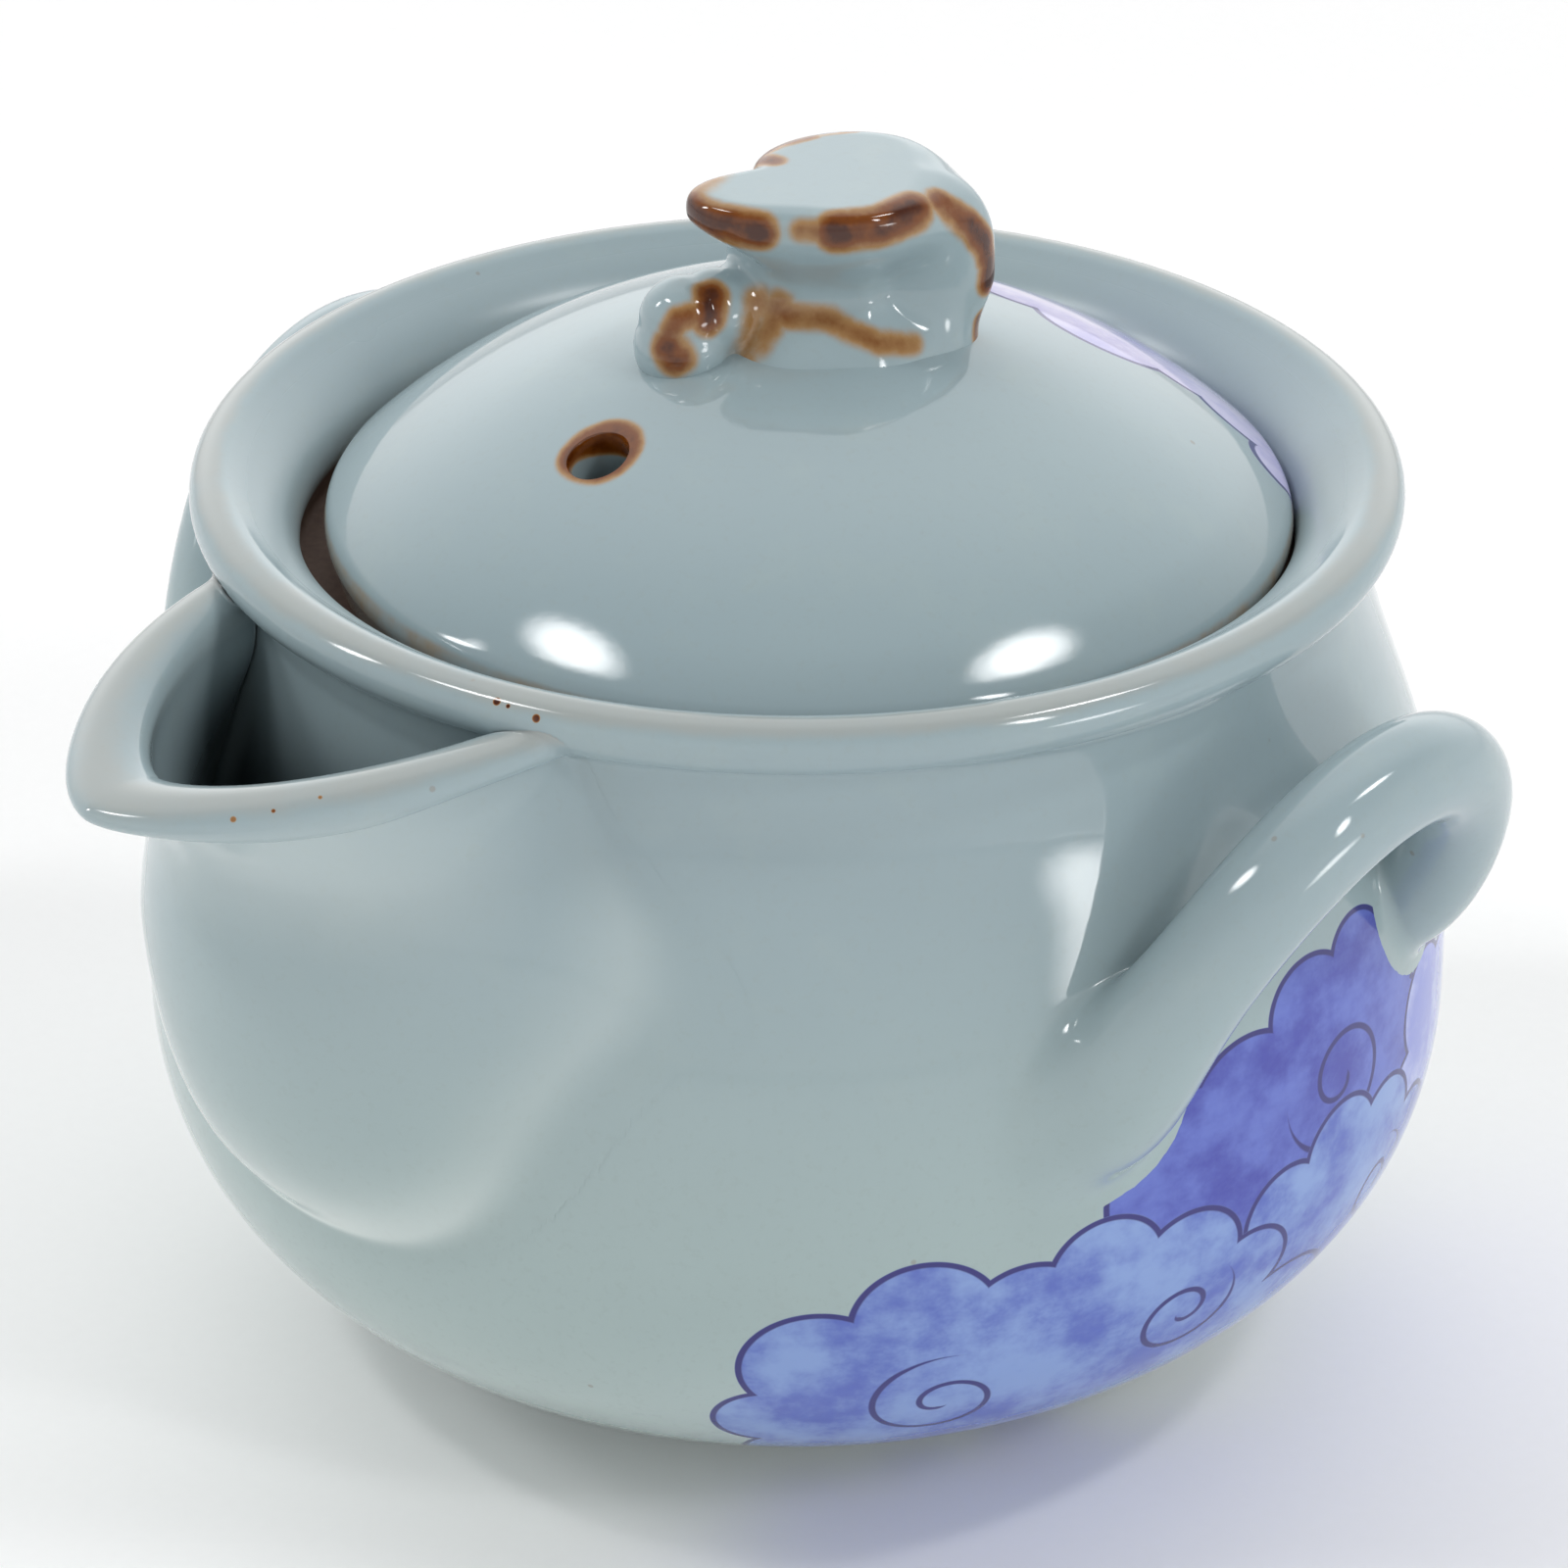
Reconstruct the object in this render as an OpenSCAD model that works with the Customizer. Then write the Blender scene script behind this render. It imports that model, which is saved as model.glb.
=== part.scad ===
// Lidded teapot with an open beak spout, two loop handles and a cloud-scroll knob.
// Fired clay throughout. The lid lifts out of a gallery inside the rim.
// Millimetres. The foot stands on z = 0, the spout points to -Y, the handles to +X and -X.

/* [Bowl] */
// Height from the table to the top of the rim
bowl_h = 68.5; // [65:0.5:73]
// Radius of the belly where it is widest
belly_r = 48.4; // [46.5:0.1:51]
// Height of the widest place on the belly
belly_z = 28; // [25:0.5:31]
// Radius of the neck under the rim
neck_r = 41.5; // [41:0.1:43]
// Thickness of the rounded rim
rim_t = 4; // [3.4:0.1:4.6]
// Thickness of the belly wall
wall_t = 3.8; // [3.2:0.1:4.6]
// Outer radius of the foot ring
foot_r = 25.5; // [22:0.5:25.5]
// Width of the foot ring
foot_w = 3.5; // [2.5:0.1:5]
// Height of the foot ring under the belly
foot_h = 1.5; // [1.4:0.1:3]

/* [Gallery] */
// Radius of the gallery wall around the lid
gallery_r = 36.8; // [36:0.1:37.4]
// Depth of the ledge under the rim
ledge_drop = 9; // [8:0.1:10]
// Width of the ledge that the lid rests on
ledge_w = 4.3; // [3.8:0.1:5]

/* [Strainer] */
// Diameter of each strainer hole behind the spout
strainer_d = 4; // [3:0.1:4.6]
// Distance between neighbouring strainer holes
strainer_pitch = 7; // [6:0.1:7.6]
// Height of the middle row of strainer holes
strainer_z = 44.5; // [43:0.5:46]

/* [Lid] */
// Gap between the lid's edge and the gallery wall
lid_gap = 1.6; // [1:0.1:2]
// Height of the dome's top above the ledge
lid_rise = 19.8; // [18.5:0.1:21]
// Radius of curvature of the dome
dome_r = 50; // [47:0.5:55]
// Thickness of the dome
lid_t = 4; // [3:0.1:4.6]
// Radius of the rounded edge of the lid
lid_edge = 2.4; // [2:0.1:2.6]
// Depth of the locating flange below the ledge
flange_h = 6; // [4:0.5:9]
// Thickness of the locating flange
flange_t = 2.8; // [2.2:0.1:3.2]
// Gap between the flange and the ledge
flange_gap = 1.2; // [0.8:0.1:1.6]
// Diameter of the steam vent
vent_d = 4.6; // [3.5:0.1:6]
// Distance of the vent from the middle of the lid
vent_at = 21.3; // [18:0.1:23]

/* [Knob] */
// Height of the knob above the top of the dome
knob_h = 11.6; // [10:0.1:13.5]
// Half length of the knob's cap
knob_a = 11.7; // [10.5:0.1:13]
// Half width of the knob's cap
knob_b = 8.2; // [7:0.1:9]
// How far the sides are hollowed under the cap
waist_ratio = 0.42; // [0.2:0.01:0.5]
// Radius of the ball curl in front of the knob
curl_r = 3.4; // [3:0.1:3.8]
// Turn of the knob away from the line of the spout
knob_turn = 45; // [0:5:90]

/* [Spout] */
// Reach of the lip from the axis of the pot
spout_reach = 65; // [62:0.5:68]
// Overhang of the lip beyond the wall below it
lip_over = 8.6; // [7:0.1:9.5]
// Dip of the lip's tip below the top of the rim
lip_dip = 5.2; // [4.5:0.1:7]
// Thickness of the lip
lip_t = 2.4; // [2:0.1:3]
// Width across the spout at the belly
spout_w = 38; // [36:0.2:40]
// Width across the lip where it meets the rim
lip_w = 41.6; // [38:0.2:42]
// Height of the lowest place of the spout
spout_low = 19; // [16:0.5:22]
// Thickness of the spout wall
spout_t = 3.6; // [3:0.1:4.4]
// Spread of the spout's sides where they meet the belly
spout_flare = 8; // [4:0.5:9]
// How pointed the lip is from above: 1 is a half ellipse
beak_n = 1.3; // [1:0.05:1.4]
// Turn of the spout off the middle between the handles
spout_turn = -2.7; // [-4:0.1:4]

/* [Handles] */
// Thickness of the handle
handle_d = 7.9; // [6.5:0.1:9]
// Distance between the two roots of a handle
handle_span = 33.8; // [30:0.2:37]
// Reach of the handle's arch away from the belly
handle_reach = 11; // [10:0.5:13]
// Rise of the arch above its roots
handle_rise = 19.6; // [17.6:0.2:21]
// Height of the front root
handle_z = 37.6; // [34:0.2:39]
// How much higher the back root sits than the front one
root_step = 2.8; // [0:0.2:3.4]
// Turn of the pair of handles about the axis of the pot
handle_turn = 2; // [-3:0.5:3]
// How far the top of the arch leans away from the spout
handle_lean = 3.2; // [0:0.1:5]
// How much thicker the roots are than the arch
root_ratio = 1.7; // [1.4:0.05:1.9]

/* [Hidden] */
$fn = 96;
celadon = [0.66, 0.74, 0.74];
celadon_deep = [0.60, 0.69, 0.70];
celadon_pale = [0.72, 0.79, 0.79];

// Bowl: where the outside curves start and end
belly_n = 2.27;
belly_sag = 2;
rim_r = neck_r + 0.5;
rim_z = bowl_h - rim_t / 2;
neck_z = rim_z - 3.5;
floor_z = foot_h + wall_t + 0.4;
ledge_z = bowl_h - ledge_drop;
ledge_in = gallery_r - ledge_w;
under_z = ledge_z - 9;

// Lid: the edge bead touches the dome from inside
lid_r = gallery_r - lid_gap;
apex_z = ledge_z + lid_rise;
dome_z = apex_z - dome_r;
edge_x = lid_r - lid_edge;
edge_z = dome_z + sqrt(pow(dome_r - lid_edge, 2) - pow(edge_x, 2));
flange_out = ledge_in - flange_gap;
flange_in = flange_out - flange_t;

// Knob and spout: levels and stations
knob_base = apex_z - 3.5;
knob_top = apex_z + knob_h;
knob_x = 2.2;
spout_in = 34;
lip_z = bowl_h - lip_dip;
lip_rise = 4.1;
bib_n = 0.94;
throat_z = lip_z - 9;
front_r = spout_reach - lip_over;
handle_r = sqrt(pow(belly_r - 3.9, 2) - pow(handle_span / 2, 2));

function mix(a, b, t) = a + (b - a) * t;
function smooth(a, b, t) =
    let (u = min(1, max(0, (t - a) / (b - a))))
    u * u * (3 - 2 * u);
function bend(a, b, c, t) = a * pow(1 - t, 2) + b * 2 * t * (1 - t) + c * t * t;

// Radius of a swelling that closes at its low end
function swell(r, z, low) =
    r * pow(max(0, 1 - pow((belly_z - z) / (belly_z - low), belly_n)), 1 / belly_n);
// Radius of the belly above its widest place
function shoulder(z) =
    belly_r - (belly_r - neck_r) * (1 - cos(180 * pow((z - belly_z) / (neck_z - belly_z), 1.4))) / 2;

// Heights that crowd together near the low end
function low_steps(low, n) = [for (i = [0 : n]) low + (belly_z - low) * (1 - cos(90 * i / n))];

// Skin of a ring of points swept along: rings joined by triangles
function band(k, m) = [
    for (i = [0 : k - 2], j = [0 : m - 1])
    let (a = i * m + j, b = i * m + (j + 1) % m)
    each [[a, b, a + m], [b, b + m, a + m]]
];
function flip(faces) = [for (f = faces) [f[2], f[1], f[0]]];

// Outside of the bowl, filled to the axis
module bowl_outside() {
    low = low_steps(foot_h, 14);
    polygon(concat(
        [[0, foot_h]],
        [for (z = low) [swell(belly_r, z, -belly_sag), z]],
        [for (i = [1 : 16]) let (z = mix(belly_z, neck_z, i / 16)) [shoulder(z), z]],
        [for (i = [1 : 4]) [neck_r + 1.3 * (1 - cos(22.5 * i)), neck_z + 2.2 * sin(22.5 * i)]],
        [[rim_r, rim_z], [0, rim_z]]
    ));
    translate([rim_r, rim_z])
        circle(d = rim_t);
}

// Room inside the bowl, from the rim down past the ledge to the floor
module bowl_inside() {
    slope_x = rim_r - rim_t / 2 * cos(45);
    slope_z = rim_z + rim_t / 2 * sin(45);
    knee_z = slope_z - (slope_x - gallery_r);
    inner_r = belly_r - wall_t;
    steps = low_steps(floor_z, 12);
    polygon(concat(
        [[0, bowl_h + 1], [slope_x, bowl_h + 1]],
        [for (i = [0 : 6]) [
            bend(slope_x, gallery_r, gallery_r, i / 6),
            bend(slope_z, knee_z, ledge_z + 1, i / 6)
        ]],
        [[gallery_r, ledge_z], [ledge_in, ledge_z], [ledge_in, ledge_z - 2]],
        [for (i = [0 : 8]) let (z = mix(under_z, belly_z, i / 8)) [shoulder(z) - wall_t, z]],
        [for (i = [11 : -1 : 1]) [swell(inner_r, steps[i], floor_z), steps[i]]],
        [[0, floor_z]]
    ));
}

module bowl_plug() {
    rotate_extrude()
        union() {
            bowl_outside();
            translate([0, rim_z - 1])
                square([rim_r, rim_t + 4]);
        }
}

module strainer() {
    rotate([0, 0, spout_turn])
        for (row = [-1 : 1], col = [-1 : 1])
            translate([col * strainer_pitch, 0, strainer_z + row * strainer_pitch])
                rotate([90, 0, 0])
                    cylinder(d = strainer_d, h = belly_r + 2);
}

module bowl() {
    color(celadon)
    difference() {
        rotate_extrude()
            difference() {
                union() {
                    bowl_outside();
                    translate([foot_r - foot_w, 0])
                        square([foot_w, foot_h + 1]);
                }
                bowl_inside();
            }
        strainer();
    }
}

// Half section of the spout at its front: [distance from axis, half width, height]
function spout_skin(base, front, half, low, high, n) = [
    for (i = [0 : n])
    let (a = 90 * i / n)
    [mix(base, front, sin(a)), half * pow(max(0.06, sin(a)), 0.36), low + (high - low) * (1 - cos(a))]
];
function lip_skin(front, over, half, half_lip, low, high, n) = [
    for (i = [1 : n])
    let (a = 90 * i / n)
    [front + over * (1 - cos(a)), mix(half, half_lip, 1 - cos(a)), low + (high - low) * sin(a)]
];
module spout_body() {
    inside_w = spout_w / 2 - spout_t;
    edge = lip_t / 2;
    outer = concat(
        spout_skin(spout_in + 4, front_r, spout_w / 2, spout_low, throat_z, 11),
        lip_skin(front_r, lip_over - edge, spout_w / 2, lip_w / 2, throat_z, lip_z - lip_t, 5),
        [
            [spout_reach - edge * 0.3, lip_w / 2 + edge * 0.2, lip_z - lip_t * 0.85],
            [spout_reach, lip_w / 2 + edge * 0.2, lip_z - lip_t * 0.5],
            [spout_reach - edge * 0.35, lip_w / 2, lip_z - lip_t * 0.14]
        ]
    );
    inner = concat(
        spout_skin(spout_in + 4, front_r - spout_t, inside_w, spout_low + spout_t + 1, throat_z, 11),
        lip_skin(front_r - spout_t, lip_over - edge, inside_w, inside_w, throat_z, lip_z - lip_t * 0.4, 5),
        [
            [spout_reach - spout_t - edge * 0.4, inside_w + 0.3, lip_z - lip_t * 0.25],
            [spout_reach - spout_t + edge * 0.2, inside_w + 0.7, lip_z - lip_t * 0.06],
            [spout_reach - edge * 1.2, inside_w + 1.3, lip_z]
        ]
    );
    n = len(outer);
    m = 2 * n;
    section = [for (i = [0 : m - 1]) i < n ? outer[i] : inner[m - 1 - i]];
    k = 33;
    points = [
        for (s = [0 : k - 1], p = section)
        let (
            a = -90 + 180 * s / (k - 1),
            plan_n = mix(bib_n, beak_n, smooth(belly_z + 16, lip_z, p[2])),
            out = pow(max(0, cos(a)), plan_n),
            side = sign(sin(a)) * pow(abs(sin(a)), plan_n),
            rise = 1 + lip_rise * (1 - out) / (lip_z - spout_low),
            spread = spout_flare * pow(1 - out, 2) * smooth(lip_z - 4, lip_z - 20, p[2])
        )
        [(p[1] + spread) * side, -mix(spout_in, p[0], out), spout_low + (p[2] - spout_low) * rise]
    ];
    // ends: the wall's outer and inner lines joined across
    first = [
        for (i = [0 : n - 2])
        each [[i, m - 1 - i, i + 1], [i + 1, m - 1 - i, m - 2 - i]]
    ];
    last = [for (f = flip(first)) [for (v = f) v + (k - 1) * m]];
    polyhedron(points, concat(band(k, m), first, last), convexity = 8);
}

module spout() {
    color(celadon_pale)
    difference() {
        rotate([0, 0, spout_turn])
            spout_body();
        bowl_plug();
    }
}

// Middle line of the handle's arch, from -90 to 90 degrees
function arch(a) = [
    handle_r + handle_reach * pow(max(0, cos(a)), 0.58),
    handle_span / 2 * sin(a) + handle_lean * max(0, cos(a)),
    handle_z + handle_rise * max(0, cos(a)) + root_step * (1 + sin(a)) / 2
];
function unit(v) = v / norm(v);
module handle_loop() {
    k = 37;
    m = 20;
    tilt = unit([-handle_rise, 0, handle_reach]);
    inset = [-7, 0, -2];
    angles = [for (s = [0 : k - 1]) 90 * sign(s - (k - 1) / 2) * pow(abs(2 * s / (k - 1) - 1), 0.8)];
    mid = concat(
        [arch(-90) + inset],
        [for (a = angles) arch(a)],
        [arch(90) + inset]
    );
    size = concat(
        [root_ratio],
        [for (a = angles) 1 + (root_ratio - 1) * (a < 0 ? 1 : 0.3) * pow(abs(sin(a)), 14)],
        [1 + (root_ratio - 1) * 0.3]
    );
    last = len(mid) - 1;
    ring = [
        for (i = [0 : last])
        let (
            t = unit(mid[min(last, i + 1)] - mid[max(0, i - 1)]),
            u = unit(tilt - t * (tilt * t)),
            v = cross(t, u)
        )
        for (j = [0 : m - 1])
        let (b = 360 * j / m)
        mid[i] + handle_d / 2 * size[i] * (u * cos(b) + v * sin(b))
    ];
    count = len(ring);
    lids = [
        for (j = [0 : m - 1])
        let (q = (j + 1) % m)
        each [[count, q, j], [count + 1, last * m + j, last * m + q]]
    ];
    polyhedron(concat(ring, [mid[0], mid[last]]), concat(flip(band(last + 1, m)), flip(lids)), convexity = 6);
}

module handle_seated(side) {
    difference() {
        rotate([0, 0, handle_turn])
            mirror([side, 0, 0])
                handle_loop();
        bowl_plug();
    }
}

module handle_right() {
    color(celadon_deep)
        handle_seated(0);
}

module handle_left() {
    color(celadon_deep)
        handle_seated(1);
}

// Dome above the lid's edge, as a half section
module dome_top() {
    reach = 2 * lid_edge / (dome_r - lid_edge);
    out_x = edge_x * (1 + reach);
    out_z = edge_z + (edge_z - dome_z) * reach;
    intersection() {
        translate([0, dome_z])
            circle(r = dome_r, $fn = 240);
        polygon([
            [0, edge_z],
            [edge_x, edge_z],
            [out_x, out_z],
            [out_x, apex_z + 1],
            [0, apex_z + 1]
        ]);
    }
}

module lid_section() {
    difference() {
        union() {
            dome_top();
            translate([edge_x, edge_z])
                circle(r = lid_edge);
            polygon([
                [flange_in, ledge_z - flange_h],
                [flange_out - 0.6, ledge_z - flange_h],
                [flange_out, ledge_z - flange_h + 0.8],
                [flange_out, ledge_z],
                [lid_r - 1.3, ledge_z],
                [edge_x + lid_edge * cos(30), edge_z - lid_edge * sin(30)],
                [edge_x, edge_z],
                [flange_in, edge_z]
            ]);
        }
        intersection() {
            translate([0, dome_z])
                circle(r = dome_r - lid_t, $fn = 240);
            translate([0, ledge_z - flange_h - 1])
                square([flange_in, lid_rise + flange_h + 1]);
        }
    }
}

module lid() {
    color(celadon)
    difference() {
        rotate_extrude()
            lid_section();
        translate([0, -vent_at, ledge_z + 1])
            cylinder(d = vent_d, h = lid_rise);
    }
}

// Outline of the knob's cap: an oval with a notch in front and one lobe drawn out
function away(a, b) = let (d = abs(a - b)) min(d, 360 - d);
function dent(a, at, wide) = exp(-pow(away(a, at) / wide, 2));
function oval(a, p, q) = 1 / sqrt(pow(cos(a) / p, 2) + pow(sin(a) / q, 2));
function cap_line(a) = oval(a, knob_a, knob_b) - 5.4 * dent(a, 160, 28) + 1.8 * dent(a, 222, 24);
function base_line(a) = oval(a, knob_a - 1.2, knob_b - 0.6) + 1.4 * dent(a, 205, 16);
module knob_body() {
    m = 48;
    levels = [0, 0.2, 0.3, 0.4, 0.5, 0.58, 0.66, 0.74, 0.81, 0.88, 0.94, 0.98, 1];
    k = len(levels);
    ring = [
        for (t = levels, j = [0 : m - 1])
        let (
            a = 360 * j / m,
            side = 1 - 0.8 * pow(max(0, cos(a)), 2),
            hollow = 1 - waist_ratio * side * dent(360 * t, 205, 75),
            crown = t > 0.88 ? sqrt(1 - pow((t - 0.88) / 0.24, 2)) : 1,
            r = mix(base_line(a), cap_line(a), smooth(0.45, 0.8, t)) * hollow * crown,
            x = knob_x + r * cos(a),
            roll = 3.4 * pow(max(0, x - 4.5) / 8, 2) * smooth(0.5, 1, t)
        )
        [x, r * sin(a), mix(knob_base, knob_top, t) - roll]
    ];
    count = len(ring);
    ends = [[knob_x, 0, knob_base], [knob_x, 0, knob_top]];
    lids = [
        for (j = [0 : m - 1])
        let (q = (j + 1) % m)
        each [[count, j, q], [count + 1, (k - 1) * m + q, (k - 1) * m + j]]
    ];
    polyhedron(concat(ring, ends), flip(concat(band(k, m), flip(lids))), convexity = 6);
}

module lid_knob() {
    color(celadon_pale)
    difference() {
        rotate([0, 0, knob_turn])
            union() {
                knob_body();
                translate([-9.3, -4.4, apex_z + curl_r - 2.1])
                    sphere(r = curl_r);
            }
        rotate_extrude()
            dome_top();
    }
}

bowl();
spout();
handle_left();
handle_right();
lid();
lid_knob();
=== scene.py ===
import bpy
import math
import numpy as np
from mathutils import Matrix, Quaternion, Vector


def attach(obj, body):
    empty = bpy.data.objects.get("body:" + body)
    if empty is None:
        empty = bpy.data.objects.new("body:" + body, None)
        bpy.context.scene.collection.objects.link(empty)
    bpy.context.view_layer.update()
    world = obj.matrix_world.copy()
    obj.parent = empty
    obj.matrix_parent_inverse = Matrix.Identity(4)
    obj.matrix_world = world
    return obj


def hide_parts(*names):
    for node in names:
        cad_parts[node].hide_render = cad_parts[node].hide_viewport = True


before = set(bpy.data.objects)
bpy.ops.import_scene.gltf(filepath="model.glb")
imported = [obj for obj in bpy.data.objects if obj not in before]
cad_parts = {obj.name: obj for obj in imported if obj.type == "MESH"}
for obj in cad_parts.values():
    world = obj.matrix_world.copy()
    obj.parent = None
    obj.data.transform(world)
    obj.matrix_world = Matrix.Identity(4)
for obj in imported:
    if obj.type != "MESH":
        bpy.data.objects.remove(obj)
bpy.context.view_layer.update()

# Bowl. A full, round belly of thrown stoneware under a celadon glaze, with a rolled rim, a bare
# gallery that carries the lid and a low foot ring. A printed bank of scrolled clouds runs round
# one side, and nine holes through the wall behind the spout hold the leaves back.
MM = 0.001
SPOUT_TURN = math.radians(-2.7)
BELLY_R, BELLY_Z, BELLY_DROP, BELLY_ROUND = 48.4, 28, 30, 2.27
SHOULDER_IN, SHOULDER_RISE = 3.45, 35
NECK_R, NECK_Z, NECK_ARC = 42.7, 63.378, 1.2
RIM_R, RIM_Z, RIM_ARC, RIM_START_Z = 42, 66.5, 2, 64.55
WALL, FLOOR_Z, FOOT_Z, LATHE_STEPS = 3.8, 5.7, 1.6, 192
FLARE = ((40.882, 68.158), (39.1, 66.956), (36.15, 65.6), (36.15, 62.4))
STRAINER_ROWS, STRAINER_COLUMNS = (37.5, 44.5, 51.5), (-7, 0, 7)
STRAINER_R, STRAINER_Y, STRAINER_DEEP = 2, -44, 30


def outside(z):
    """Radius of the bowl's outside in mm at a height in mm: belly, shoulder, neck and rolled rim."""
    z = np.asarray(z, float)
    drop = np.clip(BELLY_Z - z, 0, BELLY_DROP) / BELLY_DROP
    low = BELLY_R * np.maximum(0, 1 - drop ** BELLY_ROUND) ** (1 / BELLY_ROUND)
    climb = np.clip((z - BELLY_Z) / SHOULDER_RISE, 0, 1)
    high = BELLY_R - SHOULDER_IN * (1 - np.cos(np.pi * climb ** 1.4))
    under = NECK_R - np.sqrt(np.maximum(0, NECK_ARC ** 2 - (z - NECK_Z) ** 2))
    rim = RIM_R + np.sqrt(np.maximum(0, RIM_ARC ** 2 - (z - RIM_Z) ** 2))
    return np.select([z < BELLY_Z, z < NECK_Z, z < RIM_START_Z], [low, high, under], rim)


def lathe(name, profile, steps):
    """Draws a half section out of one vertex (r, z in mm) and spins it once round the pot's axis."""
    bpy.ops.object.select_all(action="DESELECT")
    bpy.ops.mesh.primitive_plane_add(size=MM)
    turned = bpy.context.object
    turned.name = turned.data.name = name
    bpy.ops.object.mode_set(mode="EDIT")
    bpy.ops.mesh.select_mode(type="VERT")
    bpy.ops.mesh.merge(type="CENTER")
    bpy.ops.transform.translate(value=(profile[0][0] * MM, 0, profile[0][1] * MM))
    for (r0, z0), (r1, z1) in zip(profile, profile[1:]):
        bpy.ops.mesh.extrude_region_move(
            TRANSFORM_OT_translate={"value": ((r1 - r0) * MM, 0, (z1 - z0) * MM)})
    bpy.ops.mesh.select_all(action="SELECT")
    bpy.ops.mesh.spin(steps=steps, angle=2 * math.pi, center=(0, 0, 0), axis=(0, 0, 1))
    bpy.ops.mesh.select_all(action="SELECT")
    bpy.ops.mesh.remove_doubles(threshold=1e-6)
    bpy.ops.mesh.normals_make_consistent(inside=False)
    bpy.ops.object.mode_set(mode="OBJECT")
    return turned


def arc(x, z, radius, start, end, n):
    """Points on an arc of the half section, angles in degrees."""
    return [(x + radius * math.cos(math.radians(a)), z + radius * math.sin(math.radians(a)))
            for a in np.linspace(start, end, n)]


def cut(piece, cutter):
    """Takes the cutter's shape out of a piece."""
    hole = piece.modifiers.new("hole", "BOOLEAN")
    hole.object = cutter
    hole.operation = "DIFFERENCE"
    hole.solver = "EXACT"
    bpy.ops.object.select_all(action="DESELECT")
    bpy.context.view_layer.objects.active = piece
    piece.select_set(True)
    bpy.ops.object.modifier_apply(modifier=hole.name)
    bpy.data.objects.remove(cutter)


bowl_section = [(0, 1.5), (12, 1.5), (21.6, 1.5), (22, 1.1), (22, 0.35), (22.35, 0), (25.15, 0),
                (25.5, 0.35), (25.5, 1.1), (25.75, 1.45)]
for z in FOOT_Z + (BELLY_Z - FOOT_Z) * (1 - np.cos(np.linspace(0, math.pi / 2, 40))):
    bowl_section.append((float(outside(z)), z))
for z in np.linspace(BELLY_Z, NECK_Z, 44)[1:]:
    bowl_section.append((float(outside(z)), z))
bowl_section += arc(NECK_R, NECK_Z, NECK_ARC, 180, 102.6, 8)[1:]
bowl_section += arc(RIM_R, RIM_Z, RIM_ARC, -77.4, 124, 30)[1:]
for t in np.linspace(0, 1, 28)[1:]:
    shares = ((1 - t) ** 3, 3 * t * (1 - t) ** 2, 3 * t * t * (1 - t), t ** 3)
    bowl_section.append(tuple(sum(share * p[i] for share, p in zip(shares, FLARE)) for i in (0, 1)))
bowl_section += [(36.3, 61.7), (36.6, 61.0)]
bowl_section += arc(36.2, 60.1, 0.6, 0, -90, 5)
bowl_section += arc(33.1, 58.9, 0.6, 90, 180, 5)
bowl_section += [(32.5, 57.5), (34.6, 55.7), (36.9, 53.7), (39.2, 51.8)]
for z in np.linspace(50.5, BELLY_Z, 24):
    bowl_section.append((float(outside(z)) - WALL, z))
inner_drop = BELLY_Z - FLOOR_Z
for z in FLOOR_Z + inner_drop * (1 - np.cos(np.linspace(math.pi / 2, 0, 30)))[1:]:
    round_in = max(0, 1 - ((BELLY_Z - z) / inner_drop) ** BELLY_ROUND) ** (1 / BELLY_ROUND)
    bowl_section.append(((BELLY_R - WALL) * round_in, z))
bowl = lathe("bowl_glazed", bowl_section, LATHE_STEPS)

pins = []
for row in STRAINER_ROWS:
    for column in STRAINER_COLUMNS:
        bpy.ops.mesh.primitive_cylinder_add(vertices=32, radius=STRAINER_R * MM, depth=STRAINER_DEEP * MM,
                                            rotation=(math.pi / 2, 0, 0),
                                            location=(column * MM, STRAINER_Y * MM, row * MM))
        pins.append(bpy.context.object)
bpy.ops.object.select_all(action="DESELECT")
for pin in pins:
    pin.select_set(True)
bpy.ops.object.join()
pins = bpy.context.object
bpy.ops.object.transform_apply(location=True, rotation=True, scale=True)
pins.rotation_euler = (0, 0, SPOUT_TURN)
bpy.ops.object.transform_apply(location=True, rotation=True, scale=True)
cut(bowl, pins)
bpy.ops.object.shade_smooth_by_angle(angle=math.radians(40))


def shade(tree, kind, inputs, out=0, **settings):
    """Adds a shader node, sets or links its inputs, and gives back one of its outputs."""
    made = tree.nodes.new("ShaderNode" + kind)
    for key, value in settings.items():
        setattr(made, key, value)
    for key, value in inputs.items():
        if isinstance(value, bpy.types.NodeSocket):
            tree.links.new(value, made.inputs[key])
        else:
            made.inputs[key].default_value = value
    return made.outputs[out]


def calc(tree, operation, *values):
    """One step of arithmetic."""
    return shade(tree, "Math", dict(enumerate(values)), operation=operation)


def ramp(tree, value, low, high):
    """0 at the first value, 1 at the second, smooth between."""
    return shade(tree, "MapRange", {"Value": value, "From Min": low, "From Max": high},
                 interpolation_type="SMOOTHSTEP")


def tint(tree, amount, low, high):
    """A colour between two others."""
    return shade(tree, "Mix", {0: amount, 6: low, 7: high}, out=2, data_type="RGBA")


def noise(tree, place, scale, detail=2.0, rough=0.5):
    """A cloudy value between 0 and 1."""
    return shade(tree, "TexNoise", {"Vector": place, "Scale": scale, "Detail": detail, "Roughness": rough})


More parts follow.
